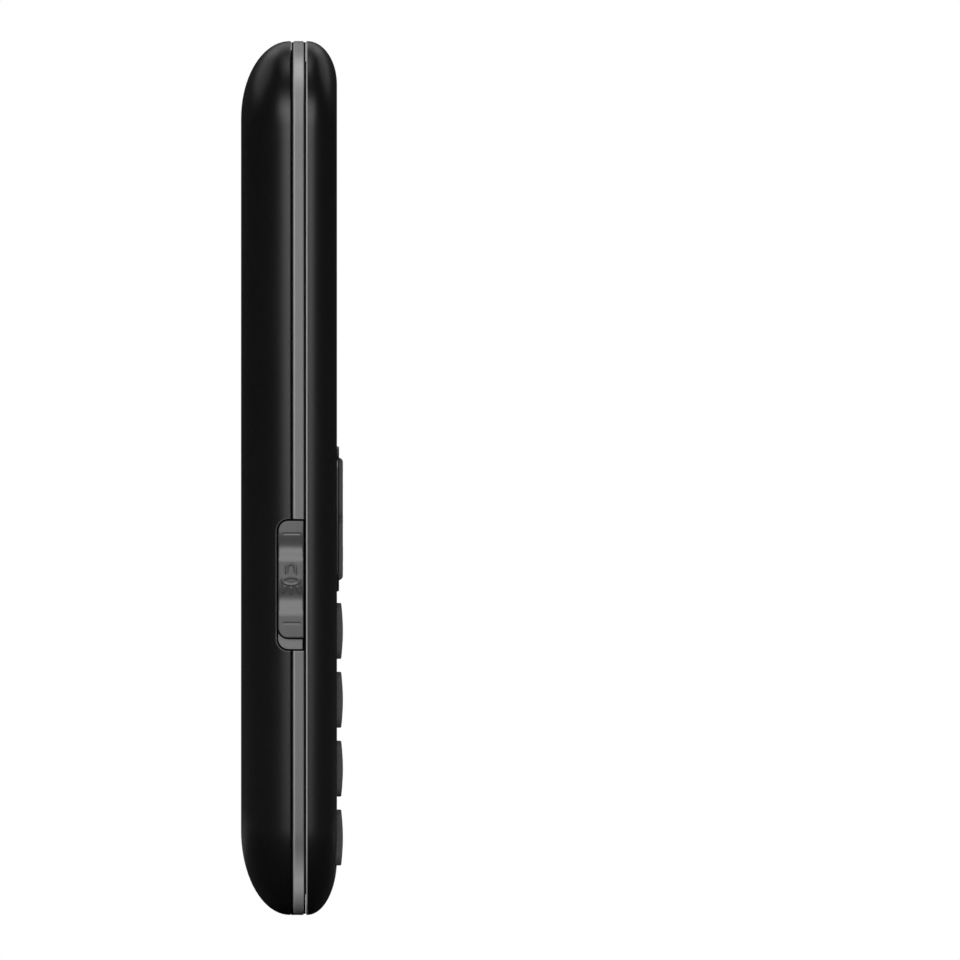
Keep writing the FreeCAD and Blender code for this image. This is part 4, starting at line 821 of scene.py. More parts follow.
class Form:
    """Points and faces of closed forms, in millimetres."""

    def __init__(self) -> None:
        """Start empty."""
        self.points: list[Place] = []
        self.faces: list[tuple[int, ...]] = []

    def ring(self, points: Sequence[Place]) -> list[int]:
        """Add the points of one ring and return their numbers.

        Args:
            points: places round the ring.

        Returns:
            Their numbers.
        """
        start = len(self.points)
        self.points.extend(points)
        return list(range(start, len(self.points)))

    def bridge(self, first: Sequence[int], second: Sequence[int]) -> None:
        """Join two rings with four-sided faces.

        Args:
            first: point numbers of one ring.
            second: point numbers of the other.
        """
        for index in range(len(first)):
            after = (index + 1) % len(first)
            self.faces.append((first[index], first[after], second[after], second[index]))

    def stack(self, rings: Sequence[Sequence[Place]]) -> "Form":
        """Add a solid through rings, closed at both ends.

        Args:
            rings: the rings, from one end to the other.

        Returns:
            The same form.
        """
        numbers = [self.ring(ring) for ring in rings]
        for first, second in zip(numbers, numbers[1:]):
            self.bridge(first, second)
        self.faces += [tuple(numbers[0]), tuple(numbers[-1])]
        return self

    def loop(self, rings: Sequence[Sequence[Place]]) -> "Form":
        """Add a frame: rings joined one after another, and the last to the first.

        Args:
            rings: the rings, in order round the frame.

        Returns:
            The same form.
        """
        numbers = [self.ring(ring) for ring in rings]
        for first, second in zip(numbers, numbers[1:] + numbers[:1]):
            self.bridge(first, second)
        return self

    def prism(self, outline: Sequence[Point], y_start: float, y_end: float) -> "Form":
        """Add an upright-sided solid between two depths."""
        return self.stack([at_depth(outline, y_start), at_depth(outline, y_end)])

    def column(self, outline: Sequence[Point], z_start: float, z_end: float) -> "Form":
        """Add a straight solid between two heights."""
        return self.stack([at_height(outline, z_start), at_height(outline, z_end)])

    def flared(self, outline: Callable[[float], list[Point]], face: float, inside: float,
               flare: float) -> "Form":
        """Add an opening along Y with a broken edge.

        Args:
            outline: gives the opening's outline, grown by a distance.
            face: depth of the surface that it opens in.
            inside: depth that it reaches.
            flare: width of the broken edge.

        Returns:
            The same form.
        """
        way = math.copysign(1.0, inside - face)
        wide, plain = outline(flare), outline(0.0)
        return self.stack([at_depth(wide, face - way * PAST), at_depth(wide, face),
                           at_depth(plain, face + way * flare), at_depth(plain, inside)])

    def block(self, low: Place, high: Place, edge: float = 0.08) -> "Form":
        """Add a block with lightly broken edges between two corners.

        Args:
            low: corner with the lowest places.
            high: corner with the highest places.
            edge: width of the broken edges.

        Returns:
            The same form.
        """
        width, height = high[0] - low[0], high[2] - low[2]
        soft = min(edge, (high[1] - low[1]) / 4, width / 4, height / 4)
        middle = ((low[0] + high[0]) / 2, (low[2] + high[2]) / 2)
        outer = rounded_rectangle(width, height, soft, middle, 2)
        inner = rounded_rectangle(width - 2 * soft, height - 2 * soft, soft / 2, middle, 2)
        return self.stack([at_depth(inner, low[1]), at_depth(outer, low[1] + soft),
                           at_depth(outer, high[1] - soft), at_depth(inner, high[1])])

    def piece(self, name: str) -> bpy.types.Object:
        """Make the mesh object, in metres, with its faces outwards.

        Args:
            name: the object's name.

        Returns:
            The object.
        """
        mesh = bpy.data.meshes.new(name)
        mesh.from_pydata([tuple(part * MM for part in point) for point in self.points], [], self.faces)
        work = bmesh.new()
        work.from_mesh(mesh)
        bmesh.ops.recalc_face_normals(work, faces=work.faces)
        work.to_mesh(mesh)
        work.free()
        return put_in_scene(name, mesh)


def carve(piece: bpy.types.Object, cutters: Form) -> None:
    """Cut closed forms out of a piece.

    Args:
        piece: the object.
        cutters: what is cut away.
    """
    tool = cutters.piece("cutter")
    opening = piece.modifiers.new("openings", "BOOLEAN")
    opening.operation = "DIFFERENCE"
    opening.solver = "EXACT"
    opening.object = tool
    evaluated = piece.evaluated_get(bpy.context.evaluated_depsgraph_get())
    piece.data = bpy.data.meshes.new_from_object(evaluated)
    piece.data.name = piece.name
    piece.modifiers.clear()
    bpy.data.objects.remove(tool)


def soften(piece: bpy.types.Object, sharp_from: float = 28.0) -> None:
    """Smooth shading, with edges kept above an angle in degrees.

    Args:
        piece: the object.
        sharp_from: smallest angle that stays an edge.
    """
    piece.data.shade_smooth()
    piece.data.set_sharp_from_angle(angle=math.radians(sharp_from))
    even = piece.modifiers.new("even_shading", "WEIGHTED_NORMAL")
    even.keep_sharp = True
    even.weight = 50


def dress(piece: bpy.types.Object, finish: Finish, body: str,
          stands_for: Sequence[str] = ()) -> bpy.types.Object:
    """Give a piece its finish, its body and the CAD nodes that it stands for.

    Args:
        piece: the object.
        finish: what it looks like.
        body: the CAD body that it moves with.
        stands_for: CAD nodes that it replaces.

    Returns:
        The same object.
    """
    piece.data.materials.clear()
    piece.data.materials.append(finish.material())
    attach(piece, body)
    if stands_for:
        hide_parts(*stands_for)
    log.info("%s rides on %s", piece.name, body)
    return piece


def paint_faces(piece: bpy.types.Object, finish: Finish,
                wanted: Callable[[bpy.types.MeshPolygon], bool]) -> None:
    """Give some faces of a piece a further finish.

    Args:
        piece: the object.
        finish: what those faces look like.
        wanted: tells whether a face is one of them.
    """
    piece.data.materials.append(finish.material())
    index = len(piece.data.materials) - 1
    for face in piece.data.polygons:
        if wanted(face):
            face.material_index = index


# ============ the phone's own outline
@dataclass(frozen=True)
class PhoneBody:
    """Outline and levels that the housing halves and the band share."""

    length: float = 124.0
    width: float = 52.5
    corner: float = 12.0
    corner_steps: int = 18
    runs: tuple[int, int] = (8, 36)
    bevel: float = 0.18
    back_rim: float = 0.14
    band_back: float = -0.14
    band_front: float = -1.70
    front_rim: float = -1.98
    front_face: float = -6.38
    key_top: float = -7.24

    def outline(self, inset_x: float, inset_low: float, inset_high: float, radius: float) -> list[Point]:
        """The phone's outline, drawn in by the given insets.

        Args:
            inset_x: at each side.
            inset_low: at the bottom end.
            inset_high: at the top end.
            radius: of the corners.

        Returns:
            The points.
        """
        low, high = inset_low, self.length - inset_high
        return rounded_rectangle(self.width - 2 * inset_x, high - low, radius, (0.0, (low + high) / 2),
                                 self.corner_steps, self.runs)

    def even(self, inset: float) -> list[Point]:
        """The phone's outline, drawn in evenly."""
        return self.outline(inset, inset, inset, self.corner - inset)

    def band_middle(self) -> float:
        """Depth of the band's middle."""
        return (self.band_back + self.band_front) / 2


BODY = PhoneBody()


@dataclass(frozen=True)
class Crown:
    """Cross-section of a housing half: a bevelled rim and a quarter ellipse to a flat face.

    Fields:
        rim: depth of the rim.
        depth: signed distance from the rim to the flat face.
        runs: how far it curves in at the sides, the bottom end and the top end.
        far_radius: corner radius of the flat face.
        wall: thickness of the rim.
        floor: depth of the inside's flat floor.
        lean: rise and run of the sloped inside walls.
        ease: shares of the bevel at which its middle ring is drawn in and stands off the rim.
        steps: flats from the flat face to the rim.
    """

    rim: float
    depth: float
    runs: tuple[float, float, float]
    far_radius: float
    wall: float
    floor: float
    lean: tuple[float, float]
    ease: Point = (0.35, 0.3)
    steps: int = 20

    def bevel(self) -> float:
        """Signed height of the rim's bevel."""
        return math.copysign(BODY.bevel, self.depth)

    def face(self) -> float:
        """Depth of the flat face."""
        return self.rim + self.depth

    def level(self, angle: float) -> float:
        """Depth of the surface at an angle of the quarter ellipse."""
        return self.rim + self.bevel() + (self.depth - self.bevel()) * math.sin(angle)

    def side_inset(self, y: float) -> float:
        """How far the side has curved in at a depth."""
        rise = (y - self.rim - self.bevel()) / (self.depth - self.bevel())
        return self.runs[0] * (1 - math.sqrt(max(0.0, 1 - min(1.0, max(0.0, rise)) ** 2)))

    def rings(self) -> list[list[Place]]:
        """Rings from the flat face out over the crown, round the rim and down the inside.

        Returns:
            The rings of one closed shell.
        """
        rings = []
        for step in range(self.steps, -1, -1):
            angle = QUARTER * step / self.steps
            share = 1 - math.cos(angle)
            side, low, high = (run * share for run in self.runs)
            radius = BODY.corner - (BODY.corner - self.far_radius) * share
            rings.append(at_depth(BODY.outline(side, low, high, radius), self.level(angle)))
        drawn, off = self.ease
        rings.append(at_depth(BODY.even(BODY.bevel * drawn), self.rim + self.bevel() * off))
        rings.append(at_depth(BODY.even(BODY.bevel), self.rim))
        rise, run = self.lean
        rings.append(at_depth(BODY.even(self.wall), self.rim))
        rings.append(at_depth(BODY.even(self.wall), self.floor - math.copysign(rise, self.depth)))
        rings.append(at_depth(BODY.even(self.wall + run), self.floor))
        return rings


# ============ torch slot
@dataclass(frozen=True)
class TorchSlot:
    """Recess in the left side that the torch button slides in."""

    low_z: float = 37.46
    high_z: float = 56.2
    back_y: float = 2.2
    radius: float = 1.7
    depth: float = 0.72
    lip: float = 0.14
    trench: float = 0.25
    floor_front: float = -1.5
    deepest_lip: float = 2.0
    slack: float = 0.02

    def outline(self, grow: float, front_y: float) -> list[Point]:
        """The recess seen from the left, as depth and height.

        Args:
            grow: how far it is moved outwards.
            front_y: depth where it starts.

        Returns:
            The points.
        """
        low, high, back = self.low_z - grow, self.high_z + grow, self.back_y + grow
        return filleted([(front_y, low, 0.0), (back, low, self.radius + grow),
                         (back, high, self.radius + grow), (front_y, high, 0.0)], 10)

    def beyond(self, y: float, z: float) -> float:
        """How far a place seen from the left is outside the recess; negative inside it.

        Args:
            y: the place's depth.
            z: the place's height.

        Returns:
            The distance.
        """
        past_end = abs(z - (self.low_z + self.high_z) / 2) - (self.high_z - self.low_z) / 2 + self.radius
        past_back = y - self.back_y + self.radius
        outside = math.hypot(max(0.0, past_end), max(0.0, past_back))
        return outside + min(0.0, max(past_end, past_back)) - self.radius

    def paint_lip_highlight(self, piece: bpy.types.Object, finish: Finish) -> None:
        """Give the broken edge round the recess a lighter finish: a painted highlight.

        Args:
            piece: the wall that the recess is cut into.
            finish: what the edge looks like.
        """
        points = piece.data.vertices

        def on_lip(face: bpy.types.MeshPolygon) -> bool:
            """Whether a face belongs to the broken edge.

            Args:
                face: a face of the wall.

            Returns:
                True if it does.
            """
            corners = [points[number].co / MM for number in face.vertices]
            away = [self.beyond(corner.y, corner.z) for corner in corners]
            return (max(corner.x for corner in corners) < -BODY.width / 2 + self.deepest_lip
                    and min(away) > -self.slack and max(away) < self.lip + self.slack
                    and max(away) - min(away) > self.slack / 2)

        paint_faces(piece, finish, on_lip)

    def cutter(self, inner_x: float, inset_at: Callable[[float], float]) -> Form:
        """Form to cut from a wall, with a broken edge that follows the wall's surface.

        Args:
            inner_x: how deep it cuts, as a place across the phone.
            inset_at: how far the wall's surface has curved in at a depth.

        Returns:
            The form.
        """
        front, side = BODY.front_rim - PAST, -BODY.width / 2
        wide, plain = self.outline(self.lip, front), self.outline(0.0, front)
        skin = [(side + inset_at(y), y, z) for y, z in wide]
        lip = [(side + inset_at(y) + self.lip, y, z) for y, z in plain]
        return Form().stack([at_side(wide, side - PAST), skin, lip, at_side(plain, inner_x)])


# ============ back cover
@dataclass(frozen=True)
class LowerOpenings:
    """Openings in the bottom end that go through the band and the cover's rim."""

    usb_width: float = 8.0
    usb_levels: Point = (-1.91, 1.04)
    usb_radius: float = 0.5
    jack: Point = (-10.4, 1.30)
    jack_radius: float = 2.6

    def add_charging_hole(self, form: Form, low_y: float, high_z: float) -> None:
        """Add the charging socket's opening, from a depth to its back edge and up to a height.

        Args:
            form: what it is added to.
            low_y: depth where it starts.
            high_z: height that it reaches.
        """
        high_y = self.usb_levels[1]
        middle = (0.0, (low_y + high_y) / 2)
        outline = rounded_rectangle(self.usb_width, high_y - low_y, self.usb_radius, middle, 5)
        form.column(outline, -PAST, high_z)

    def add_jack_hole(self, form: Form, mouth_y: float, high_z: float) -> None:
        """Add the headphone collar's hole, open to a depth in front of it and up to a height.

        Args:
            form: what it is added to.
            mouth_y: depth of its open side.
            high_z: height that it reaches.
        """
        x, radius = self.jack[0], self.jack_radius
        half_circle = circle(self.jack, radius, 48)[:25]
        form.column(half_circle + [(x - radius, mouth_y), (x + radius, mouth_y)], -PAST, high_z)


@dataclass
class BackCover:
    """Lift-off back cover with its speaker slots, camera window and catches."""

    crown: Crown = field(default_factory=lambda: Crown(
        rim=BODY.back_rim, depth=7.1, runs=(9.5, 12.0, 11.0), far_radius=5.0, wall=1.1, floor=6.14,
        lean=(4.8, 7.4)))
    slot: TorchSlot = field(default_factory=TorchSlot)
    slot_depth: float = 2.3
    speaker: Point = (8.6, 98.0)
    speaker_slots: int = 5
    speaker_slot: Place = (7.4, 0.8, 0.39)
    speaker_pitch: float = 1.8
    speaker_depth: float = 2.2
    speaker_flare: float = 0.12
    camera: Point = (-9.6, 100.0)
    camera_radius: float = 3.6
    camera_steps: int = 48
    barrel_radius: float = 2.6
    seat_steps: tuple[Point, ...] = ((0.15, 1.0), (0.15, 0.0), (0.05, -0.1))
    window_thickness: float = 0.7
    window_edge: tuple[Point, ...] = ((0.0, 0.12), (0.04, 0.04), (0.12, 0.0))
    lower: LowerOpenings = field(default_factory=LowerOpenings)
    usb_top: float = 3.4
    jack_top: float = 5.6
    jack_mouth: float = 0.28
    catches: tuple[float, ...] = (24.0, 66.0, 90.0)
    catch_size: Place = (0.6, 0.95, 4.0)
    catch_tip: float = 0.38

    def build(self) -> None:
        """Shell, catches and camera window."""
        shell = Form().stack(self.crown.rings()).piece("back_shell")
        carve(shell, self.openings())
        soften(shell, sharp_from=30.0)
        dress(shell, Finishes.back, "cover", ["back_cover"])
        self.slot.paint_lip_highlight(shell, Finishes.lip)
        self.build_catches()
        self.build_window()

    def openings(self) -> Form:
        """Everything cut from the shell.

        Returns:
            The form to cut away.
        """
        face = self.crown.face()
        form = self.slot.cutter(-BODY.width / 2 + self.slot_depth, self.crown.side_inset)
        for step in range(self.speaker_slots):
            z = self.speaker[1] + self.speaker_pitch * (step - (self.speaker_slots - 1) / 2)
            slot = RoundedShape(*self.speaker_slot, (self.speaker[0], z), 6)
            form.flared(slot.grown, face, face - self.speaker_depth, self.speaker_flare)
        seat = face - self.window_thickness - SEAT
        hole = [(self.camera_radius + grow, face + rise) for grow, rise in self.seat_steps]
        hole += [(hole[-1][0], seat), (self.barrel_radius, seat),
                 (self.barrel_radius, self.crown.floor - PAST)]
        form.stack(self.camera_rings(hole))
        self.lower.add_charging_hole(form, self.crown.rim - PAST, self.usb_top)
        self.lower.add_jack_hole(form, self.crown.rim - self.jack_mouth, self.jack_top)
        return form

    def camera_rings(self, profile: Iterable[Point]) -> list[list[Place]]:
        """Rings round the camera's middle, by radius and depth."""
        return [at_depth(circle(self.camera, radius, self.camera_steps), y) for radius, y in profile]

    def build_catches(self) -> None:
        """Small tongues inside the rim that snap behind the band."""
        thick, drop, length = self.catch_size
        inner = BODY.width / 2 - self.crown.wall - thick
        rim = self.crown.rim
        form = Form()
        for side, z in ((side, z) for side in (1, -1) for z in self.catches):
            for reach, front in ((self.catch_tip, rim - drop), (thick + SEAT, rim)):
                near, far = sorted((side * inner, side * (inner + reach)))
                form.block((near, front, z - length / 2), (far, rim + drop, z + length / 2))
        dress(form.piece("cover_catches"), Finishes.back, "cover")

    def build_window(self) -> None:
        """Glossy disc over the camera."""
        steps = ((0.0, self.window_thickness), *self.window_edge)
        profile = [(self.camera_radius - inset, self.crown.face() - sunk) for inset, sunk in steps]
        window = Form().stack(self.camera_rings(profile)).piece("camera_glass")
        soften(window, sharp_from=50.0)
        dress(window, Finishes.lens, "cover", ["camera_window"])


# ============ side band
@dataclass
class SideBand:
    """Satin band with its grooves, the torch slide's floor, the fingernail notch and the lower openings."""

    groove: float = 0.16
    thickness: float = 1.2
    lip_levels: Point = (-1.94, 0.10)
    bevel_steps: int = 4
    bevel_share: float = 0.9
    slot: TorchSlot = field(default_factory=TorchSlot)
    lower: LowerOpenings = field(default_factory=LowerOpenings)
    jack_mouth: float = 0.5
    floor_thickness: float = 0.48
    plateau_edge: float = 0.04
    plateau_height: float = 0.22
    plateau_seen: float = 0.1
    stem_room: tuple[float, float, float, float] = (0.08, 1.98, 43.79, 49.89)
    notch_depth: float = 0.6
    notch_reach: Point = (-1.35, 0.5)
    notch_levels: Point = (6.1, 18.4)
    notch_round: float = 0.5
    notch_edge: float = 0.07
    notch_steps: int = 20
    mic: Place = (9.4, 0.5, 0.1)
    lens: Place = (4.1, 1.1, 0.5)

    def build(self) -> None:
        """Band and the slide's floor."""
        rings = [at_depth(BODY.even(inset), y) for y, inset in self.profile()]
        band = Form().loop(rings).piece("grey_band")
        carve(band, self.openings())
        soften(band, sharp_from=30.0)
        dress(band, Finishes.band, "phone", ["side_band"])
        self.slot.paint_lip_highlight(band, Finishes.band_edge_highlight)
        front, back = BODY.band_front - 0.01, BODY.band_back + 0.01
        # faces off the band's outer face get painted seam shade
        paint_faces(band, Finishes.seam_shade, lambda face: not front < face.center.y / MM < back)
        self.build_floor()

    def profile(self) -> list[Point]:
        """Depth and inset round the band's cross-section.

        Returns:
            The points, in order.
        """
        bevel, back, front = BODY.bevel, BODY.band_back, BODY.band_front
        edge = []
        for step in range(1, self.bevel_steps + 1):
            rise = math.sin(QUARTER * step / self.bevel_steps)
            edge.append((bevel * rise * self.bevel_share, bevel * (1 - rise)))
        low, high = self.lip_levels
        return [(back, self.groove), (back, bevel),
                *((back - run, inset) for run, inset in edge),
                *((front + run, inset) for run, inset in reversed(edge)),
                (front, bevel), (front, self.groove), (low, self.groove), (low, self.thickness),
                (high, self.thickness), (high, self.groove)]

    def openings(self) -> Form:
        """Everything cut from the band.

        Returns:
            The form to cut away.
        """
        through = self.thickness + PAST
        form = self.slot.cutter(-BODY.width / 2 + through, lambda _: 0.0)
        self.add_notch(form)
        self.lower.add_charging_hole(form, self.lower.usb_levels[0], through)
        self.lower.add_jack_hole(form, self.jack_mouth, through)
        x, radius, edge = self.mic
        levels = ((-PAST, radius + edge), (0.0, radius + edge), (edge, radius), (through, radius))
        form.stack([at_height(circle((x, BODY.band_middle()), wide), z) for z, wide in levels])
        lens = rounded_rectangle(*self.lens, (0.0, BODY.band_middle()), 6)
        return form.column(lens, BODY.length - through, BODY.length + PAST)

    def add_notch(self, form: Form) -> None:
        """Fingernail notch: follows the outline, rounded towards the front, open towards the cover.

        Args:
            form: what it is added to.
        """
        low, high = self.notch_levels
        depth, edge = self.notch_depth, self.notch_edge
        run = high - low - 2 * self.notch_round
        end = [(low + inset, rise) for inset, rise in quarter_round(self.notch_round, 8)]
        spots = end + [(low + self.notch_round + run * k / self.notch_steps, 0.0)
                       for k in range(1, self.notch_steps)]
        spots += [(high + low - z, rise) for z, rise in reversed(end)]
        rings = []
        for z, rise in spots:
            front, back = self.notch_reach[0] + rise, self.notch_reach[1]
            section = ((depth, front), (edge, front), (0.0, front - edge), (-PAST, front - edge),
                       (-PAST, back), (depth, back))
            rings.append([self.side_place(z, inset, y) for inset, y in section])
        form.stack(rings)

    @staticmethod
    def side_place(z: float, inset: float, y: float) -> Place:
        """Point on the right side at a height, that far inside the outline.

        Args:
            z: the height.
            inset: the distance inside.
            y: the depth.

        Returns:
            The place.
        """
        drop = max(0.0, BODY.corner - z)
        if drop == 0:
            return (BODY.width / 2 - inset, y, z)
        turn = math.asin(min(1.0, drop / BODY.corner))
        radius = BODY.corner - inset
        across = BODY.width / 2 - BODY.corner + radius * math.cos(turn)
        return (across, y, BODY.corner - radius * math.sin(turn))

    def build_floor(self) -> None:
        """Floor of the torch slide: a grey plateau on a plate in painted seam shade, with room for the
        button's stem.
        """
        inner, edge = -BODY.width / 2 + self.slot.depth, self.plateau_edge
        plateau = self.slot.outline(-self.slot.trench, self.slot.floor_front)
        soft = self.slot.outline(-self.slot.trench - edge, self.slot.floor_front + edge)
        plate = self.slot.outline(0.0, self.lip_levels[0])
        steps = ((0.0, soft), (edge, plateau), (self.plateau_height, plateau), (self.plateau_height, plate),
                 (self.floor_thickness, plate))
        rings = [at_side(outline, inner + sunk) for sunk, outline in steps]
        piece = Form().stack(rings).piece("torch_slide_floor")
        low_y, high_y, low_z, high_z = self.stem_room
        low_x, high_x = inner - PAST, inner + 2 * PAST
        sides = [(low_x, low_z), (high_x, low_z), (high_x, high_z), (low_x, high_z)]
        carve(piece, Form().prism(sides, low_y, high_y))
        soften(piece)
        dress(piece, Finishes.slide_floor, "phone")
        # the plate round the plateau gets painted seam shade
        paint_faces(piece, Finishes.seam_shade, lambda face: face.center.x > (inner + self.plateau_seen) * MM)


# ============ front housing
@dataclass
class FrontHousing:
    """Front shell with its window, earpiece slot and key openings."""

    crown: Crown = field(default_factory=lambda: Crown(
        rim=BODY.front_rim, depth=-4.4, runs=(5.0, 7.95, 6.15), far_radius=8.0, wall=1.4, floor=-4.98,
        lean=(1.8, 3.2)))
    window: tuple[float, float, float, float] = (41.0, 44.4, 3.0, 91.2)
    window_thickness: float = 0.85
    window_room: float = 0.1
    window_edge: float = 0.22
    screen: Place = (31.8, 42.0, 0.5)
    earpiece: Place = (10.0, 1.3, 0.64)
    earpiece_z: float = 115.7
    earpiece_flare: float = 0.15
    flare: float = 0.1
    key_gap: float = 0.25
    boss_radii: Point = (2.1, 0.9)
    boss_edges: Place = (0.15, 0.1, 0.2)
    bosses: tuple[Point, ...] = ((22.4, 16.2), (20.6, 79.0), (20.4, 107.5))

    def build(self, keypad: "Keypad", cluster: "NavCluster") -> None:
        """Shell, screw bosses and window.

        Args:
            keypad: the number keys that need openings.
            cluster: the navigation keys that need theirs.
        """
        shell = Form().stack(self.crown.rings()).piece("front_shell")
        carve(shell, self.openings(keypad, cluster))
        soften(shell, sharp_from=30.0)
        dress(shell, Finishes.front, "phone", ["front_housing"])
        self.build_bosses()
        self.build_window()

    def openings(self, keypad: "Keypad", cluster: "NavCluster") -> Form:
        """Everything cut from the shell.

        Args:
            keypad: the number keys.
            cluster: the navigation keys.

        Returns:
            The form to cut away.
        """
        face, inside = BODY.front_face, self.crown.floor + PAST
        width, height, radius, centre_z = self.window
        room, seat = self.window_room, self.window_thickness + SEAT
        recess = RoundedShape(width + 2 * room, height + 2 * room, radius + room, (0.0, centre_z))
        steps = ((-self.flare, -PAST), (-self.flare, 0.0), (0.0, self.flare), (0.0, seat))
        hole = rounded_rectangle(*self.screen, (0.0, centre_z), 10)
        form = Form().stack([*recess.rings(face, steps), at_depth(hole, face + seat), at_depth(hole, inside)])
        slit = RoundedShape(*self.earpiece, (0.0, self.earpiece_z))
        form.flared(slit.grown, face, inside, self.earpiece_flare)
        form.stack(cluster.opening_rings(face, inside))
        for place in keypad.places().values():
            cap = keypad.cap(place)
            form.flared(lambda grow, cap=cap: cap.grown(self.key_gap + grow), face, inside, self.flare)
        return form

    def build_bosses(self) -> None:
        """Tubes that the six screws bite into."""
        form = Form()
        outer, inner = self.boss_radii
        corner, mouth, rise = self.boss_edges
        floor, top = self.crown.floor - SEAT, BODY.band_front
        levels = ((outer, floor), (outer, top - rise), (outer - corner, top - SEAT),
                  (inner + mouth, top - SEAT), (inner, top - corner), (inner, floor))
        for x, z in ((side * x, z) for x, z in self.bosses for side in (1, -1)):
            form.loop([at_depth(circle((x, z), radius), y) for radius, y in levels])
        bosses = form.piece("front_bosses")
        soften(bosses)
        dress(bosses, Finishes.front, "phone")

    def build_window(self) -> None:
        """Clear window with a softly rounded edge."""
        width, height, radius, centre_z = self.window
        pane = RoundedShape(width, height, radius, (0.0, centre_z), 12, (4, 4))
        profile = [(0.0, self.window_thickness), *quarter_round(self.window_edge, 6)]
        window = Form().stack(pane.rings(BODY.front_face, profile)).piece("window_pane")
        soften(window, sharp_from=50.0)
        dress(window, Finishes.window, "phone", ["display_window"])


# ============ number keys
@dataclass
class Keypad:
    """Twelve number keys with crowned tops and printed figures."""

    width: float = 12.2
    height: float = 7.95
    radius: float = 1.6
    pitch: Point = (13.5, 9.77)
    bottom_row: float = 11.0
    wall: float = 0.6
    proud: float = 0.86
    edge: float = 0.17
    crown_insets: tuple[float, ...] = (0.5, 1.0, 1.6, 2.3, 3.0, 3.6)
    back_y: float = -3.63
    flange: Point = (0.35, 0.4)
    flange_y: float = -4.94
    print_size: float = 4.1
    print_height: float = 0.02
    print_edge: float = 0.9
    rows: tuple[tuple[str, ...], ...] = (
        ("star", "0", "hash"), ("7", "8", "9"), ("4", "5", "6"), ("1", "2", "3"))
    figures: dict[str, str] = field(default_factory=lambda: {"star": "*", "hash": "#"})

    def places(self) -> dict[str, Point]:
        """Centre of each key, by name."""
        return {name: ((column - 1) * self.pitch[0], self.bottom_row + row * self.pitch[1])
                for row, names in enumerate(self.rows) for column, name in enumerate(names)}

    def cap(self, place: Point) -> RoundedShape:
        """Shape of the key at a place, seen from the front."""
        return RoundedShape(self.width, self.height, self.radius, place, 7, (6, 6))

    def top(self, rise: float) -> float:
        """Depth of the crowned top at a distance above or below the key's middle.

        Args:
            rise: that distance.

        Returns:
            The depth.
        """
        share = min(1.0, abs(rise) / (self.height / 2))
        crown = self.proud - self.wall - self.print_height
        return BODY.front_face - self.wall - crown * (1 - share ** 2)

    def build(self) -> None:
        """All keys and their figures."""
        for name, place in self.places().items():
            body = f"key_{name}"
            key = self.key_form(place).piece(f"key_{name}_cap")
            soften(key, sharp_from=35.0)
            dress(key, Finishes.keys, body, [body])
            figure = self.figure(f"key_{name}_print", self.figures.get(name, name), place)
            dress(figure, Finishes.ink, body)

    def key_form(self, place: Point) -> Form:
        """One key: flange, straight wall, rounded rim and crowned top.

        Args:
            place: the key's middle.

        Returns:
            The key's form.
        """
        cap, (reach, thick) = self.cap(place), self.flange
        steps = ((0.0, self.back_y), (0.0, self.flange_y + thick), (-reach, self.flange_y + thick),
                 (-reach, self.flange_y), (0.0, self.flange_y))
        crown = quarter_round(self.edge, 5) + [(inset, 0.0) for inset in self.crown_insets]
        return Form().stack(cap.rings(0.0, steps) + [
            [(x, self.top(z - place[1]) + sunk, z) for x, z in cap.drawn_in(inset)] for inset, sunk in crown])

    def figure(self, name: str, text: str, place: Point) -> bpy.types.Object:
        """Thin raised figure that follows the key's crown.

        Args:
            name: the piece's name.
            text: one figure or sign.
            place: the key's middle.

        Returns:
            The print as a piece.
        """
        curve = bpy.data.curves.new(name, "FONT")
        curve.body = text
        curve.align_x = "CENTER"
        curve.align_y = "CENTER"
        curve.extrude = 1.0
        written = put_in_scene(name, curve)
        evaluated = written.evaluated_get(bpy.context.evaluated_depsgraph_get())
        mesh = bpy.data.meshes.new_from_object(evaluated)
        bpy.data.objects.remove(written)
        work = bmesh.new()
        work.from_mesh(mesh)
        self.refine(work)
        levels = [point.co.y for point in work.verts]
        middle = (min(levels) + max(levels)) / 2
        for point in work.verts:
            across, up, out = point.co.x, point.co.y - middle, point.co.z
            z = place[1] + up * self.print_size
            y = self.top(z - place[1]) - out * self.print_height
            point.co = Vector((place[0] + across * self.print_size, y, z)) * MM
        bmesh.ops.recalc_face_normals(work, faces=work.faces)
        work.to_mesh(mesh)
        work.free()
        return put_in_scene(name, mesh)

    def refine(self, work: bmesh.types.BMesh) -> None:
        """Split a figure's long level edges, so that it can bend over the crown.

        Args:
            work: the figure's mesh.
        """
        bmesh.ops.remove_doubles(work, verts=work.verts, dist=1e-4)
        bmesh.ops.triangulate(work, faces=work.faces)
        for _ in range(3):
            longest = [edge for edge in work.edges if edge.calc_length() * self.print_size > self.print_edge
                       and abs(edge.verts[0].co.z - edge.verts[1].co.z) < 0.1]
            bmesh.ops.subdivide_edges(work, edges=longest, cuts=1)
            bmesh.ops.triangulate(work, faces=work.faces)


# ============ navigation keys
class Mark(Enum):
    """Plain signs on the navigation keys."""

    MENU = "menu"
    CALL = "call"
    END = "end"


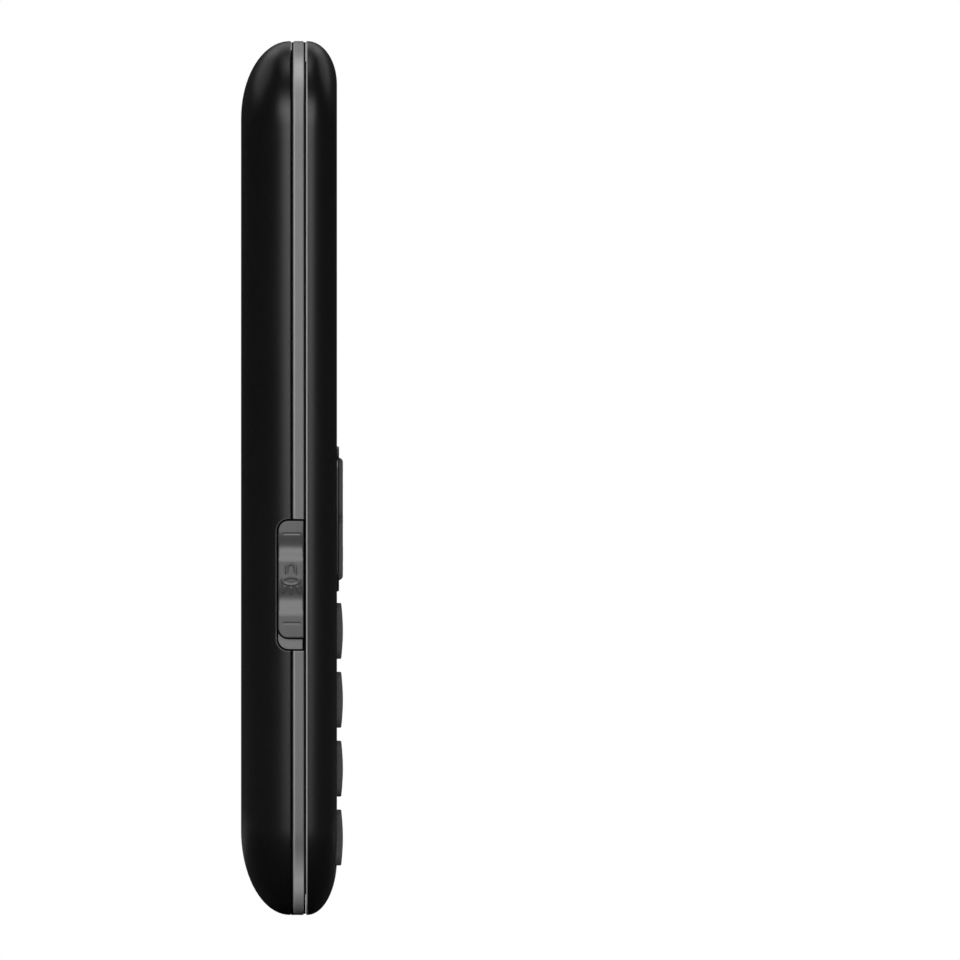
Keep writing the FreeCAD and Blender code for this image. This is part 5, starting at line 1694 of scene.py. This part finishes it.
@dataclass(frozen=True)
class Handset:
    """Sign of a handset: a bent line with two thick ends.

    Fields:
        turns: where its arc starts and ends, in degrees.
        shift: the arc's centre, from the sign's middle.
        radius: of the arc.
        thin: width of the line.
        swell: how much wider its ends are.
        end: share of the line that each end takes.
        steps: flats along the arc.
    """

    turns: Point
    shift: Point
    radius: float = 1.9
    thin: float = 0.5
    swell: float = 0.75
    end: float = 0.1
    steps: int = 24

    def outline(self, middle: Point) -> list[Point]:
        """The sign's outline round a place.

        Args:
            middle: that place.

        Returns:
            The points.
        """
        first, last = (math.radians(turn) for turn in self.turns)
        u, v = middle[0] + self.shift[0], middle[1] + self.shift[1]
        path, widths = [], []
        for share in (step / self.steps for step in range(self.steps + 1)):
            turn = first + (last - first) * share
            path.append((u + self.radius * math.cos(turn), v + self.radius * math.sin(turn)))
            past_end = max(0.0, min(share, 1 - share) - self.end) / self.end
            widths.append(self.thin + self.swell * max(0.0, 1 - past_end ** 2))
        return stroke(path, widths)


@dataclass
class NavCluster:
    """Frame, four-way ring, centre key and the four keys beside the ring."""

    centre_z: float = 56.2
    frame_size: tuple[float, float, float] = (41.4, 20.6, 3.0)
    frame_proud: float = 0.3
    frame_thickness: float = 0.9
    frame_room: Point = (0.2, 0.1)
    frame_outside: tuple[Point, ...] = ((0.0, 0.18), (0.05, 0.06), (0.16, 0.0))
    frame_inside: tuple[Point, ...] = ((0.12, 0.0), (0.03, 0.04), (0.0, 0.14))
    cluster: Point = (38.8, 17.4)
    running_gap: float = 0.25
    gap: float = 0.4
    chamfer: float = 0.5
    bulge: float = 0.12
    ring_radius: float = 5.5
    ring_dish: tuple[Point, ...] = ((-1.1, 0.0), (-0.7, 0.05), (-0.3, 0.16), (-0.06, 0.24), (0.0, 0.34))
    arrow: Place = (7.1, 0.75, 0.75)
    arrow_round: float = 0.1
    ok_size: Point = (7.2, 2.4)
    ok_sunk: float = 0.15
    ok_dish: tuple[Point, ...] = ((0.7, 0.03), (1.2, 0.07), (1.8, 0.1), (2.3, 0.12))
    inner_x: float = 7.3
    side_radius: float = 1.5
    inner_radii: Point = (0.35, 0.5)
    sign_place: Point = (14.6, 4.6)
    dash: Place = (2.6, 0.5, 0.24)
    key_back: float = -3.63
    ring_back: float = -4.42
    flange: float = 0.15
    flange_levels: Point = (-4.9, -4.42)
    ink: float = 0.02
    ledge: tuple[Point, ...] = ((18.2, 0.1), (18.65, 0.32), (19.2, 0.87), (19.38, 1.35), (19.65, 1.35))
    ledge_levels: Point = (-4.1, -3.75)

    def shape(self, width: float, height: float, radius: float, steps: int = 10) -> RoundedShape:
        """Rounded rectangle round the cluster's middle."""
        return RoundedShape(width, height, radius, (0.0, self.centre_z), steps)

    def opening_rings(self, face: float, inside: float) -> list[list[Place]]:
        """Rings of the stepped opening in the front shell.

        Args:
            face: depth of the front face.
            inside: depth that the opening reaches.

        Returns:
            The rings.
        """
        seat = face - self.frame_proud + self.frame_thickness + SEAT
        wide, plain = self.frame_room
        steps = ((-wide, face - PAST), (-wide, face), (-plain, face + plain), (-plain, seat))
        hole = self.cluster_outline()
        return [*self.shape(*self.frame_size).rings(0.0, steps), at_depth(hole, seat), at_depth(hole, inside)]

    def cluster_outline(self) -> list[Point]:
        """Outline of the frame's opening."""
        width, height = (size + 2 * self.running_gap for size in self.cluster)
        return self.shape(width, height, self.side_radius).drawn_in(0.0)

    def build(self) -> None:
        """Frame, ring, keys and their signs."""
        self.build_frame()
        self.build_ring()
        self.build_ok()
        for side_x, side_z, body in ((-1, 1, "soft_key_left"), (1, 1, "soft_key_right"),
                                     (-1, -1, "call_key"), (1, -1, "end_key")):
            self.build_side_key(side_x, side_z, body)
        self.build_ledges()

    def build_ledges(self) -> None:
        """Two small ledges in painted seam shade that close the notches between the side keys' outer corners.
        """
        form = Form()
        for side in (-1, 1):
            outline = [(side * u, self.centre_z + v) for u, v in self.ledge]
            outline += [(side * u, self.centre_z - v) for u, v in reversed(self.ledge)]
            form.prism(outline, *self.ledge_levels)
        dress(form.piece("nav_side_ledges"), Finishes.seam_shade, "phone")

    def build_frame(self) -> None:
        """Low frame with a rounded top edge."""
        top = BODY.front_face - self.frame_proud
        outside = ((0.0, self.frame_thickness), *self.frame_outside)
        inside = (*self.frame_inside, (0.0, self.frame_thickness))
        rings = self.shape(*self.frame_size).rings(top, outside)
        rings += [at_depth(drawn_in(self.cluster_outline(), -grow), top + sunk) for grow, sunk in inside]
        piece = Form().loop(rings).piece("nav_frame")
        soften(piece, sharp_from=40.0)
        dress(piece, Finishes.frame, "phone", ["nav_surround"])

    def edge_profile(self, chamfer: float, steps: int = 5) -> list[Point]:
        """Inset and sink of a softly curved chamfer, from the wall to the top.

        Args:
            chamfer: its width.
            steps: flats along it.

        Returns:
            The steps.
        """
        points = []
        for share in (step / steps for step in range(steps + 1)):
            bulge = self.bulge * chamfer * math.sin(math.pi * share)
            sunk = chamfer * (1 - share) - bulge if share < 1 else 0.0
            points.append((max(0.0, chamfer * share - bulge), sunk))
        return points

    def build_ring(self) -> None:
        """Four-way ring with a chamfered outside and a dished inside edge."""
        size = self.cluster[1]
        top = BODY.key_top + self.ink
        low, high = self.flange_levels
        profile = [(-self.flange, high - top), (-self.flange, low - top), (0.0, low - top)]
        profile += self.edge_profile(self.chamfer)
        rings = self.shape(size, size, self.ring_radius, 12).rings(top, profile)
        hole = self.ok_size[0] + 2 * self.running_gap
        middle = self.shape(hole, hole, self.ok_size[1] + self.running_gap, 12)
        rings += middle.rings(top, (*self.ring_dish, (0.0, self.ring_back - top)))
        piece = Form().loop(rings).piece("nav_ring_cap")
        soften(piece, sharp_from=40.0)
        dress(piece, Finishes.keys, "nav_pad", ["nav_ring"])
        self.build_arrows(top)

    def build_arrows(self, top: float) -> None:
        """Four small arrowheads on the ring.

        Args:
            top: depth of the ring's top.
        """
        form = Form()
        reach, half, length = self.arrow
        corners = [(reach + length / 2, 0.0), (reach - length / 2, half), (reach - length / 2, -half)]
        for quarter in range(4):
            cosine, sine = math.cos(QUARTER * quarter), math.sin(QUARTER * quarter)
            turned = [(a * cosine - b * sine, a * sine + b * cosine, self.arrow_round) for a, b in corners]
            outline = [(u, v + self.centre_z) for u, v in filleted(turned, 3)]
            form.prism(outline, top - self.ink, top + self.ink)
        dress(form.piece("nav_ring_print"), Finishes.ink, "nav_pad")

    def build_ok(self) -> None:
        """Centre key, slightly dished."""
        size, radius = self.ok_size
        top = BODY.key_top + self.ok_sunk
        profile = [(0.0, self.key_back - top), *self.edge_profile(self.chamfer / 2, 4), *self.ok_dish]
        piece = Form().stack(self.shape(size, size, radius).rings(top, profile)).piece("ok_key_cap")
        soften(piece, sharp_from=40.0)
        dress(piece, Finishes.keys, "ok_key", ["ok_key"])

    def side_outline(self, side_x: int, side_z: int) -> list[Point]:
        """Outline of a key beside the ring, hollowed to follow it.

        Args:
            side_x: -1 on the left of the ring, 1 on its right.
            side_z: -1 below the ring's middle, 1 above it.

        Returns:
            The points.
        """
        outer, top = self.cluster[0] / 2, self.cluster[1] / 2
        low = self.gap / 2
        room = top + self.gap
        arc_radius = self.ring_radius + self.gap
        arc_centre = room - arc_radius
        start = math.acos((self.inner_x - arc_centre) / arc_radius)
        low_round, high_round = self.inner_radii
        corners = [(room, low, low_round), (outer, low, self.side_radius), (outer, top, self.side_radius),
                   (self.inner_x, top, high_round)]
        for turn in (start * (1 - step / 10) for step in range(11)):
            corners.append((arc_centre + arc_radius * math.cos(turn),
                            arc_centre + arc_radius * math.sin(turn), 0.0))
        outline = [(side_x * u, self.centre_z + side_z * v) for u, v in filleted(corners, 6)]
        return outline if side_x * side_z > 0 else outline[::-1]

    def build_side_key(self, side_x: int, side_z: int, body: str) -> None:
        """One key beside the ring, with its sign.

        Args:
            side_x: -1 on the left of the ring, 1 on its right.
            side_z: -1 below the ring's middle, 1 above it.
            body: the body that it moves with.
        """
        outline = self.side_outline(side_x, side_z)
        top = BODY.key_top + self.ink
        low, high = self.flange_levels
        steps = [(0.0, self.key_back - top), (0.0, high - top), (-self.flange, high - top),
                 (-self.flange, low - top), (0.0, low - top), *self.edge_profile(self.chamfer)]
        rings = [at_depth(drawn_in(outline, inset) if inset else outline, top + sunk)
                 for inset, sunk in steps]
        piece = Form().stack(rings).piece(f"{body}_cap")
        soften(piece, sharp_from=40.0)
        dress(piece, Finishes.keys, body, [body])
        mark = Mark.MENU if side_z > 0 else Mark.CALL if side_x < 0 else Mark.END
        middle = (side_x * self.sign_place[0], self.centre_z + side_z * self.sign_place[1])
        sign = Form().prism(self.sign(mark, middle), top - self.ink, top + self.ink).piece(f"{body}_print")
        finish = {Mark.MENU: Finishes.ink, Mark.CALL: Finishes.ink_call, Mark.END: Finishes.ink_end}[mark]
        dress(sign, finish, body)

    def sign(self, mark: Mark, middle: Point) -> list[Point]:
        """Outline of a key's sign: a dash, or a handset lifted or laid down.

        Args:
            mark: which sign it is.
            middle: its place.

        Returns:
            The points.
        """
        if mark is Mark.MENU:
            return rounded_rectangle(*self.dash, middle, 4)
        handset = Handset((200, 290), (0.9, 1.1)) if mark is Mark.CALL else Handset((30, 150), (0.0, -1.4))
        return handset.outline(middle)


# ============ torch button
@dataclass
class TorchButton:
    """Sliding torch button: dished plate with grip lines and a raised torch sign."""

    length: float = 16.6
    centre_z: float = 47.64
    levels: Point = (-1.62, 1.94)
    outer_x: float = -26.25
    thickness: float = 0.6
    corner: float = 1.44
    edge: float = 0.12
    skirt: float = 0.2
    skirt_front: float = 0.02
    skirt_levels: Point = (-0.12, 0.08)
    grid: float = 0.045
    dishes: tuple[Place, ...] = ((52.2, 2.2, 0.40), (44.9, 2.6, 0.44))
    grips: tuple[float, ...] = (54.1, 41.4)
    grip_reach: Point = (-1.2, 1.3)
    grip_depth: float = 0.07
    grip_half: float = 0.22
    grip_ease: float = 0.15
    sign_middle: float = 0.14
    sign_height: float = 0.115
    sign_soft: float = 0.26
    sign_line: float = 0.17
    sign_loop: Point = (49.25, 0.6)
    sign_head: Place = (47.55, 1.4, 0.86)
    sign_neck: Place = (48.2, 0.75, 0.3)
    sign_lens: Place = (47.36, 0.92, 0.40)
    sign_bars: tuple[tuple[Point, Point], ...] = (
        ((0.6, 49.25), (0.62, 48.4)), ((-0.6, 49.25), (-0.62, 48.4)), ((0.0, 46.35), (0.0, 45.65)),
        ((0.88, 46.5), (1.14, 45.8)), ((-0.88, 46.5), (-1.14, 45.8)),
    )
    stem: tuple[float, float, float, float, float] = (-25.69, -21.8, 0.33, 1.73, 4.0)

    def ends(self) -> Point:
        """Heights of the plate's two ends."""
        return self.centre_z - self.length / 2, self.centre_z + self.length / 2

    def build(self) -> None:
        """Plate and stem."""
        plate = self.plate_form().piece("torch_button_cap")
        soften(plate, sharp_from=50.0)
        dress(plate, Finishes.slider, "torch_button", ["torch_slider"])
        low_x, high_x, low_y, high_y, length = self.stem
        low_z, high_z = self.centre_z - length / 2, self.centre_z + length / 2
        stem = Form().block((low_x, low_y, low_z), (high_x, high_y, high_z))
        dress(stem.piece("torch_button_stem"), Finishes.slider, "torch_button")
        self.build_shade_skirt()

    def build_shade_skirt(self) -> None:
        """Thin skirt behind the plate in painted seam shade: a painted shadow line round the plate."""
        low, high = self.ends()[0] - self.skirt, self.ends()[1] + self.skirt
        front, back = self.levels[0] + self.skirt_front, self.levels[1] + self.skirt
        radius = self.corner + self.skirt
        outline = filleted([(front, low, 0.0), (back, low, radius), (back, high, radius),
                            (front, high, 0.0)], 12)
        inner_x = self.outer_x + self.thickness
        skirt = Form().stack([at_side(outline, inner_x + level) for level in self.skirt_levels])
        # painted shadow round the plate's edge
        dress(skirt.piece("torch_button_shade_skirt"), Finishes.seam_shade, "torch_button")

    def sign_field(self, depth: np.ndarray, height: np.ndarray) -> np.ndarray:
        """Signed distance to the torch sign: looped handle, head with a sunk lens, and three rays.

        Args:
            depth: places along Y.
            height: places along Z.

        Returns:
            Millimetres outside the sign; negative inside it.
        """
        across = depth - self.sign_middle

        def bar(start: Point, end: Point) -> np.ndarray:
            """Distance to a round-ended bar.

            Args:
                start: middle of one end.
                end: middle of the other.

            Returns:
                The distance.
            """
            run = np.array([end[0] - start[0], end[1] - start[1]])
            away_y, away_z = across - start[0], height - start[1]
            share = np.clip((away_y * run[0] + away_z * run[1]) / (run @ run), 0, 1)
            return np.hypot(away_y - share * run[0], away_z - share * run[1]) - self.sign_line

        def oval(level: float, half_width: float, half_height: float) -> np.ndarray:
            """Rough distance to an oval."""
            return (np.hypot(across / half_width, (height - level) / half_height) - 1) * half_height

        level, radius = self.sign_loop
        arch = np.abs(np.hypot(across, height - level) - radius) - self.sign_line
        level, half_width, half_height = self.sign_neck
        neck = np.maximum(np.abs(across) - half_width, np.abs(height - level) - half_height)
        head = np.maximum(np.minimum(oval(*self.sign_head), neck), -oval(*self.sign_lens))
        bars = [bar(start, end) for start, end in self.sign_bars]
        return np.minimum.reduce([np.where(height > self.sign_loop[0], arch, np.inf), head, *bars])

    def relief(self, depth: np.ndarray, height: np.ndarray) -> np.ndarray:
        """How far the face stands out or is sunk, over a grid.

        Args:
            depth: places along Y.
            height: places along Z.

        Returns:
            Millimetres outwards from the plain face.
        """
        def dip(middle: float, half: float) -> np.ndarray:
            """1 at a height, easing to 0 at half the dip's width from it."""
            return 0.5 + 0.5 * np.cos(np.pi * np.clip(np.abs(height - middle) / half, 0, 1))

        out = np.zeros_like(depth)
        for middle, half, sink in self.dishes:
            out -= sink * dip(middle, half)
        low, high = self.grip_reach
        along = np.clip(np.minimum(depth - low, high - depth) / self.grip_ease, 0, 1)
        for middle in self.grips:
            out -= self.grip_depth * dip(middle, self.grip_half) * along
        share = np.clip(0.5 - self.sign_field(depth, height) / self.sign_soft, 0, 1)
        return out + self.sign_height * share * share * (3 - 2 * share)

    def plate_form(self) -> Form:
        """Grid over the outer face, with a rolled edge, straight sides and a flat back.

        Returns:
            The plate's form.
        """
        low_z, high_z = self.ends()
        front, back = self.levels
        rows, columns = int(self.length / self.grid), int((back - front) / self.grid)
        heights = np.linspace(low_z, high_z, rows + 1)
        end = np.minimum(heights - low_z, high_z - heights)
        span = np.sqrt(np.clip(self.corner ** 2 - (self.corner - end) ** 2, 0, None))
        backs = back - np.where(end < self.corner, self.corner - span, 0)
        depth = front + (backs[:, None] - front) * np.linspace(0, 1, columns + 1)[None, :]
        height = np.repeat(heights[:, None], columns + 1, axis=1)
        ends = np.repeat(end[:, None], columns + 1, axis=1)
        border = np.minimum.reduce([depth - front, backs[:, None] - depth, ends])
        near = np.clip(border / self.edge, 0, 1)
        roll = self.edge * (1 - np.sqrt(1 - (1 - near) ** 2))
        out = self.relief(depth, height) * near - roll
        form = Form()
        spots = np.stack([self.outer_x - out, depth, height], axis=-1)
        numbers = [form.ring(row) for row in spots.tolist()]
        for first, second in zip(numbers, numbers[1:]):
            form.faces += [(first[j], first[j + 1], second[j + 1], second[j]) for j in range(columns)]
        around = (numbers[0] + [row[-1] for row in numbers[1:]] + numbers[-1][-2::-1]
                  + [row[0] for row in numbers[-2:0:-1]])
        inner_x = self.outer_x + self.thickness
        rear = form.ring([(inner_x, *form.points[number][1:]) for number in around])
        form.bridge(around, rear)
        form.faces.append(tuple(rear))
        return form


# ============ torch lens and inner pieces
@dataclass
class TorchLens:
    """Clear lens let into the top of the band."""

    size: Place = (4.0, 1.0, 0.45)
    low_z: float = 122.8
    edge: tuple[Point, ...] = ((0.0, 0.2), (0.03, 0.1), (0.1, 0.03), (0.2, 0.0))

    def build(self) -> None:
        """Rounded lens with a softly crowned top."""
        shape = RoundedShape(*self.size, (0.0, BODY.band_middle()), 6)
        profile = ((0.0, self.low_z), *((inset, BODY.length - sunk) for inset, sunk in self.edge))
        rings = [at_height(shape.drawn_in(inset), z) for inset, z in profile]
        lens = Form().stack(rings).piece("torch_lens_clear_cap")
        soften(lens, sharp_from=50.0)
        dress(lens, Finishes.torch, "phone", ["torch_lens"])


@dataclass
class InnerPieces:
    """Pieces whose CAD shape is right: they stay, and get their finishes."""

    finishes: tuple[tuple[Finish, tuple[str, ...]], ...] = (
        (Finishes.chassis, ("rear_chassis", "antenna")),
        (Finishes.steel, ("housing_screws", "shield_cans", "vibration_motor", "usb_socket", "microphone",
                          "torch_switch", "sim_socket_1", "sim_socket_2", "memory_card_socket")),
        (Finishes.panel, ("display_module",)),
        (Finishes.mesh, ("earpiece_grille", "loudspeaker")),
        (Finishes.speaker, ("earpiece", "nav_rocker", "camera_module", "headphone_socket")),
        (Finishes.silicone, ("keypad_mat",)),
        (Finishes.domes, ("dome_sheet",)),
        (Finishes.board, ("main_board",)),
        (Finishes.battery, ("battery",)),
        (Finishes.ivory, ("battery_contacts", "torch_switch_lever")),
        (Finishes.led, ("torch_led",)),
    )

    def build(self, nodes: dict[str, bpy.types.Object]) -> None:
        """Dress every CAD node that stays.

        Args:
            nodes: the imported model's nodes by name.
        """
        for finish, name in ((finish, name) for finish, names in self.finishes for name in names):
            materials = nodes[name].data.materials
            if not materials:
                materials.append(None)
            for index in range(len(materials)):
                materials[index] = finish.material()
            log.info("%s keeps its CAD shape", name)


# ============ studio
@dataclass(frozen=True)
class Softbox:
    """A soft light panel.

    Fields:
        name: its name.
        place: where it stands, in metres.
        size: width and height in metres.
        radiance: how bright its face is; 1 is white.
        aim: the point it faces.
    """

    name: str
    place: Place
    size: Point
    radiance: float
    aim: Place = (0.0, 0.0, 0.06)

    def build(self) -> None:
        """Make the light, unseen by the camera itself."""
        lamp = bpy.data.lights.new(self.name, "AREA")
        lamp.shape = "RECTANGLE"
        lamp.size, lamp.size_y = self.size
        lamp.energy = self.radiance * math.pi * self.size[0] * self.size[1]
        made = put_in_scene(self.name, lamp)
        made.location = self.place
        made.rotation_euler = (Vector(self.aim) - Vector(self.place)).to_track_quat("-Z", "Y").to_euler()
        made.visible_camera = False


@dataclass
class Studio:
    """Pale floor, soft lights, dark cards and the camera, in metres.

    Fields:
        floor_half: half the floor's width.
        floor_z: its height, a little under the phone.
        paper: its colour.
        cards: name, tone and the radius and height of each ring of a card.
        card_sides: flats round a card.
        ambient: the fill light's strength.
        camera_x: where the camera stands.
        picture_centre: the picture's middle along Y and Z, in millimetres.
        boxes: the soft lights.
    """

    floor_half: float = 4.0
    floor_z: float = -0.0002
    paper: Colour = (0.92, 0.92, 0.92)
    cards: tuple[tuple[str, float, tuple[Point, ...]], ...] = (
        ("dark_cards", 0.02, ((0.62, -0.3), (0.62, 0.7), (0.22, 1.1))),
        ("card_below", 0.02, ((0.004, -0.0001), (0.15, -0.0001))),
        ("grey_card_below", 0.25, ((0.15, -0.0001), (0.62, -0.0001))),
    )
    card_sides: int = 48
    ambient: float = 0.55
    camera_x: float = -0.9
    picture_centre: Point = (-26.67, 61.72)
    boxes: tuple[Softbox, ...] = (
        Softbox("left_core", (-0.46, 0.16, 0.36), (0.40, 0.26), 0.7),
        Softbox("left_near", (-0.54, -0.05, 0.235), (0.50, 0.34), 1.15),
        Softbox("left_wide", (-0.52, -0.03, 0.25), (1.2, 0.38), 1.1),
        Softbox("left_widest", (-0.50, 0.0, 0.25), (1.9, 0.40), 0.6),
        Softbox("right_box", (0.42, 0.0, 0.46), (0.5, 0.30), 0.6),
        Softbox("top_box", (0.0, 0.0, 0.62), (0.4, 0.4), 0.5),
        Softbox("front_box", (0.34, -0.40, 0.42), (0.5, 0.34), 0.4),
        Softbox("rear_box", (0.34, 0.40, 0.42), (0.5, 0.34), 0.4),
    )

    def build(self) -> None:
        """Set everything up."""
        scene = bpy.context.scene
        scene.view_settings.view_transform = "Standard"
        self.build_floor()
        self.build_cards()
        self.build_world()
        for box in self.boxes:
            box.build()
        self.build_camera()

    def build_floor(self) -> None:
        """Large sheet of pale paper."""
        half = self.floor_half
        mesh = bpy.data.meshes.new("floor")
        corners = [(-half, -half, 0.0), (half, -half, 0.0), (half, half, 0.0), (-half, half, 0.0)]
        mesh.from_pydata(corners, [], [(0, 1, 2, 3)])
        floor = put_in_scene("floor", mesh)
        floor.location.z = self.floor_z
        mesh.materials.append(PaperFloor("floor_paper", self.paper).material())

    def build_cards(self) -> None:
        """Dark cards round and under the phone, which only its gloss sees."""
        for name, tone, profile in self.cards:
            form = Form()
            rings = [form.ring(at_height(circle((0.0, 0.0), radius, self.card_sides), z))
                     for radius, z in profile]
            for first, second in zip(rings, rings[1:]):
                form.bridge(first, second)
            mesh = bpy.data.meshes.new(name)
            mesh.from_pydata(form.points, [], form.faces)
            cards = put_in_scene(name, mesh)
            mesh.materials.append(KeyPrint(f"{name}_paint", (tone, tone, tone), 0.8).material())
            cards.visible_camera = False
            cards.visible_shadow = False
            cards.visible_diffuse = False

    def build_world(self) -> None:
        """White where a camera, mirror or clear ray ends, and a dim fill elsewhere."""
        world = bpy.data.worlds.new("studio")
        world.use_nodes = True
        bpy.context.scene.world = world
        graph = Graph(world.node_tree)
        path = graph.node("ShaderNodeLightPath")
        camera, gloss, clear = (Wire(graph, path.outputs[f"Is {kind} Ray"])
                                for kind in ("Camera", "Glossy", "Transmission"))
        white = (camera + gloss + clear).within()
        strength = white * (1 - self.ambient) + self.ambient
        shown = graph.wire("ShaderNodeBackground", None,
                           {"Color": (1.0, 1.0, 1.0, 1.0), "Strength": strength})
        graph.node("ShaderNodeOutputWorld", None, {"Surface": shown})

    def build_camera(self) -> None:
        """Level camera square to the phone's left side."""
        lens = bpy.data.cameras.new("camera")
        lens.type = "ORTHO"
        lens.ortho_scale = POINT_WIDTH * RENDER_POINTS * MM
        lens.clip_start, lens.clip_end = 0.01, 20.0
        camera = put_in_scene("camera", lens)
        across, up = self.picture_centre
        camera.location = (self.camera_x, across * MM, up * MM)
        camera.rotation_euler = (QUARTER, 0.0, -QUARTER)
        bpy.context.scene.camera = camera


def main() -> None:
    """Build and dress the whole phone, then the studio."""
    logging.basicConfig(level=logging.INFO, format="%(name)s: %(message)s")
    keypad, cluster = Keypad(), NavCluster()
    FrontHousing().build(keypad, cluster)
    SideBand().build()
    BackCover().build()
    keypad.build()
    cluster.build()
    TorchButton().build()
    TorchLens().build()
    InnerPieces().build(frame["nodes"])
    Studio().build()


if __name__ == "__main__":
    main()
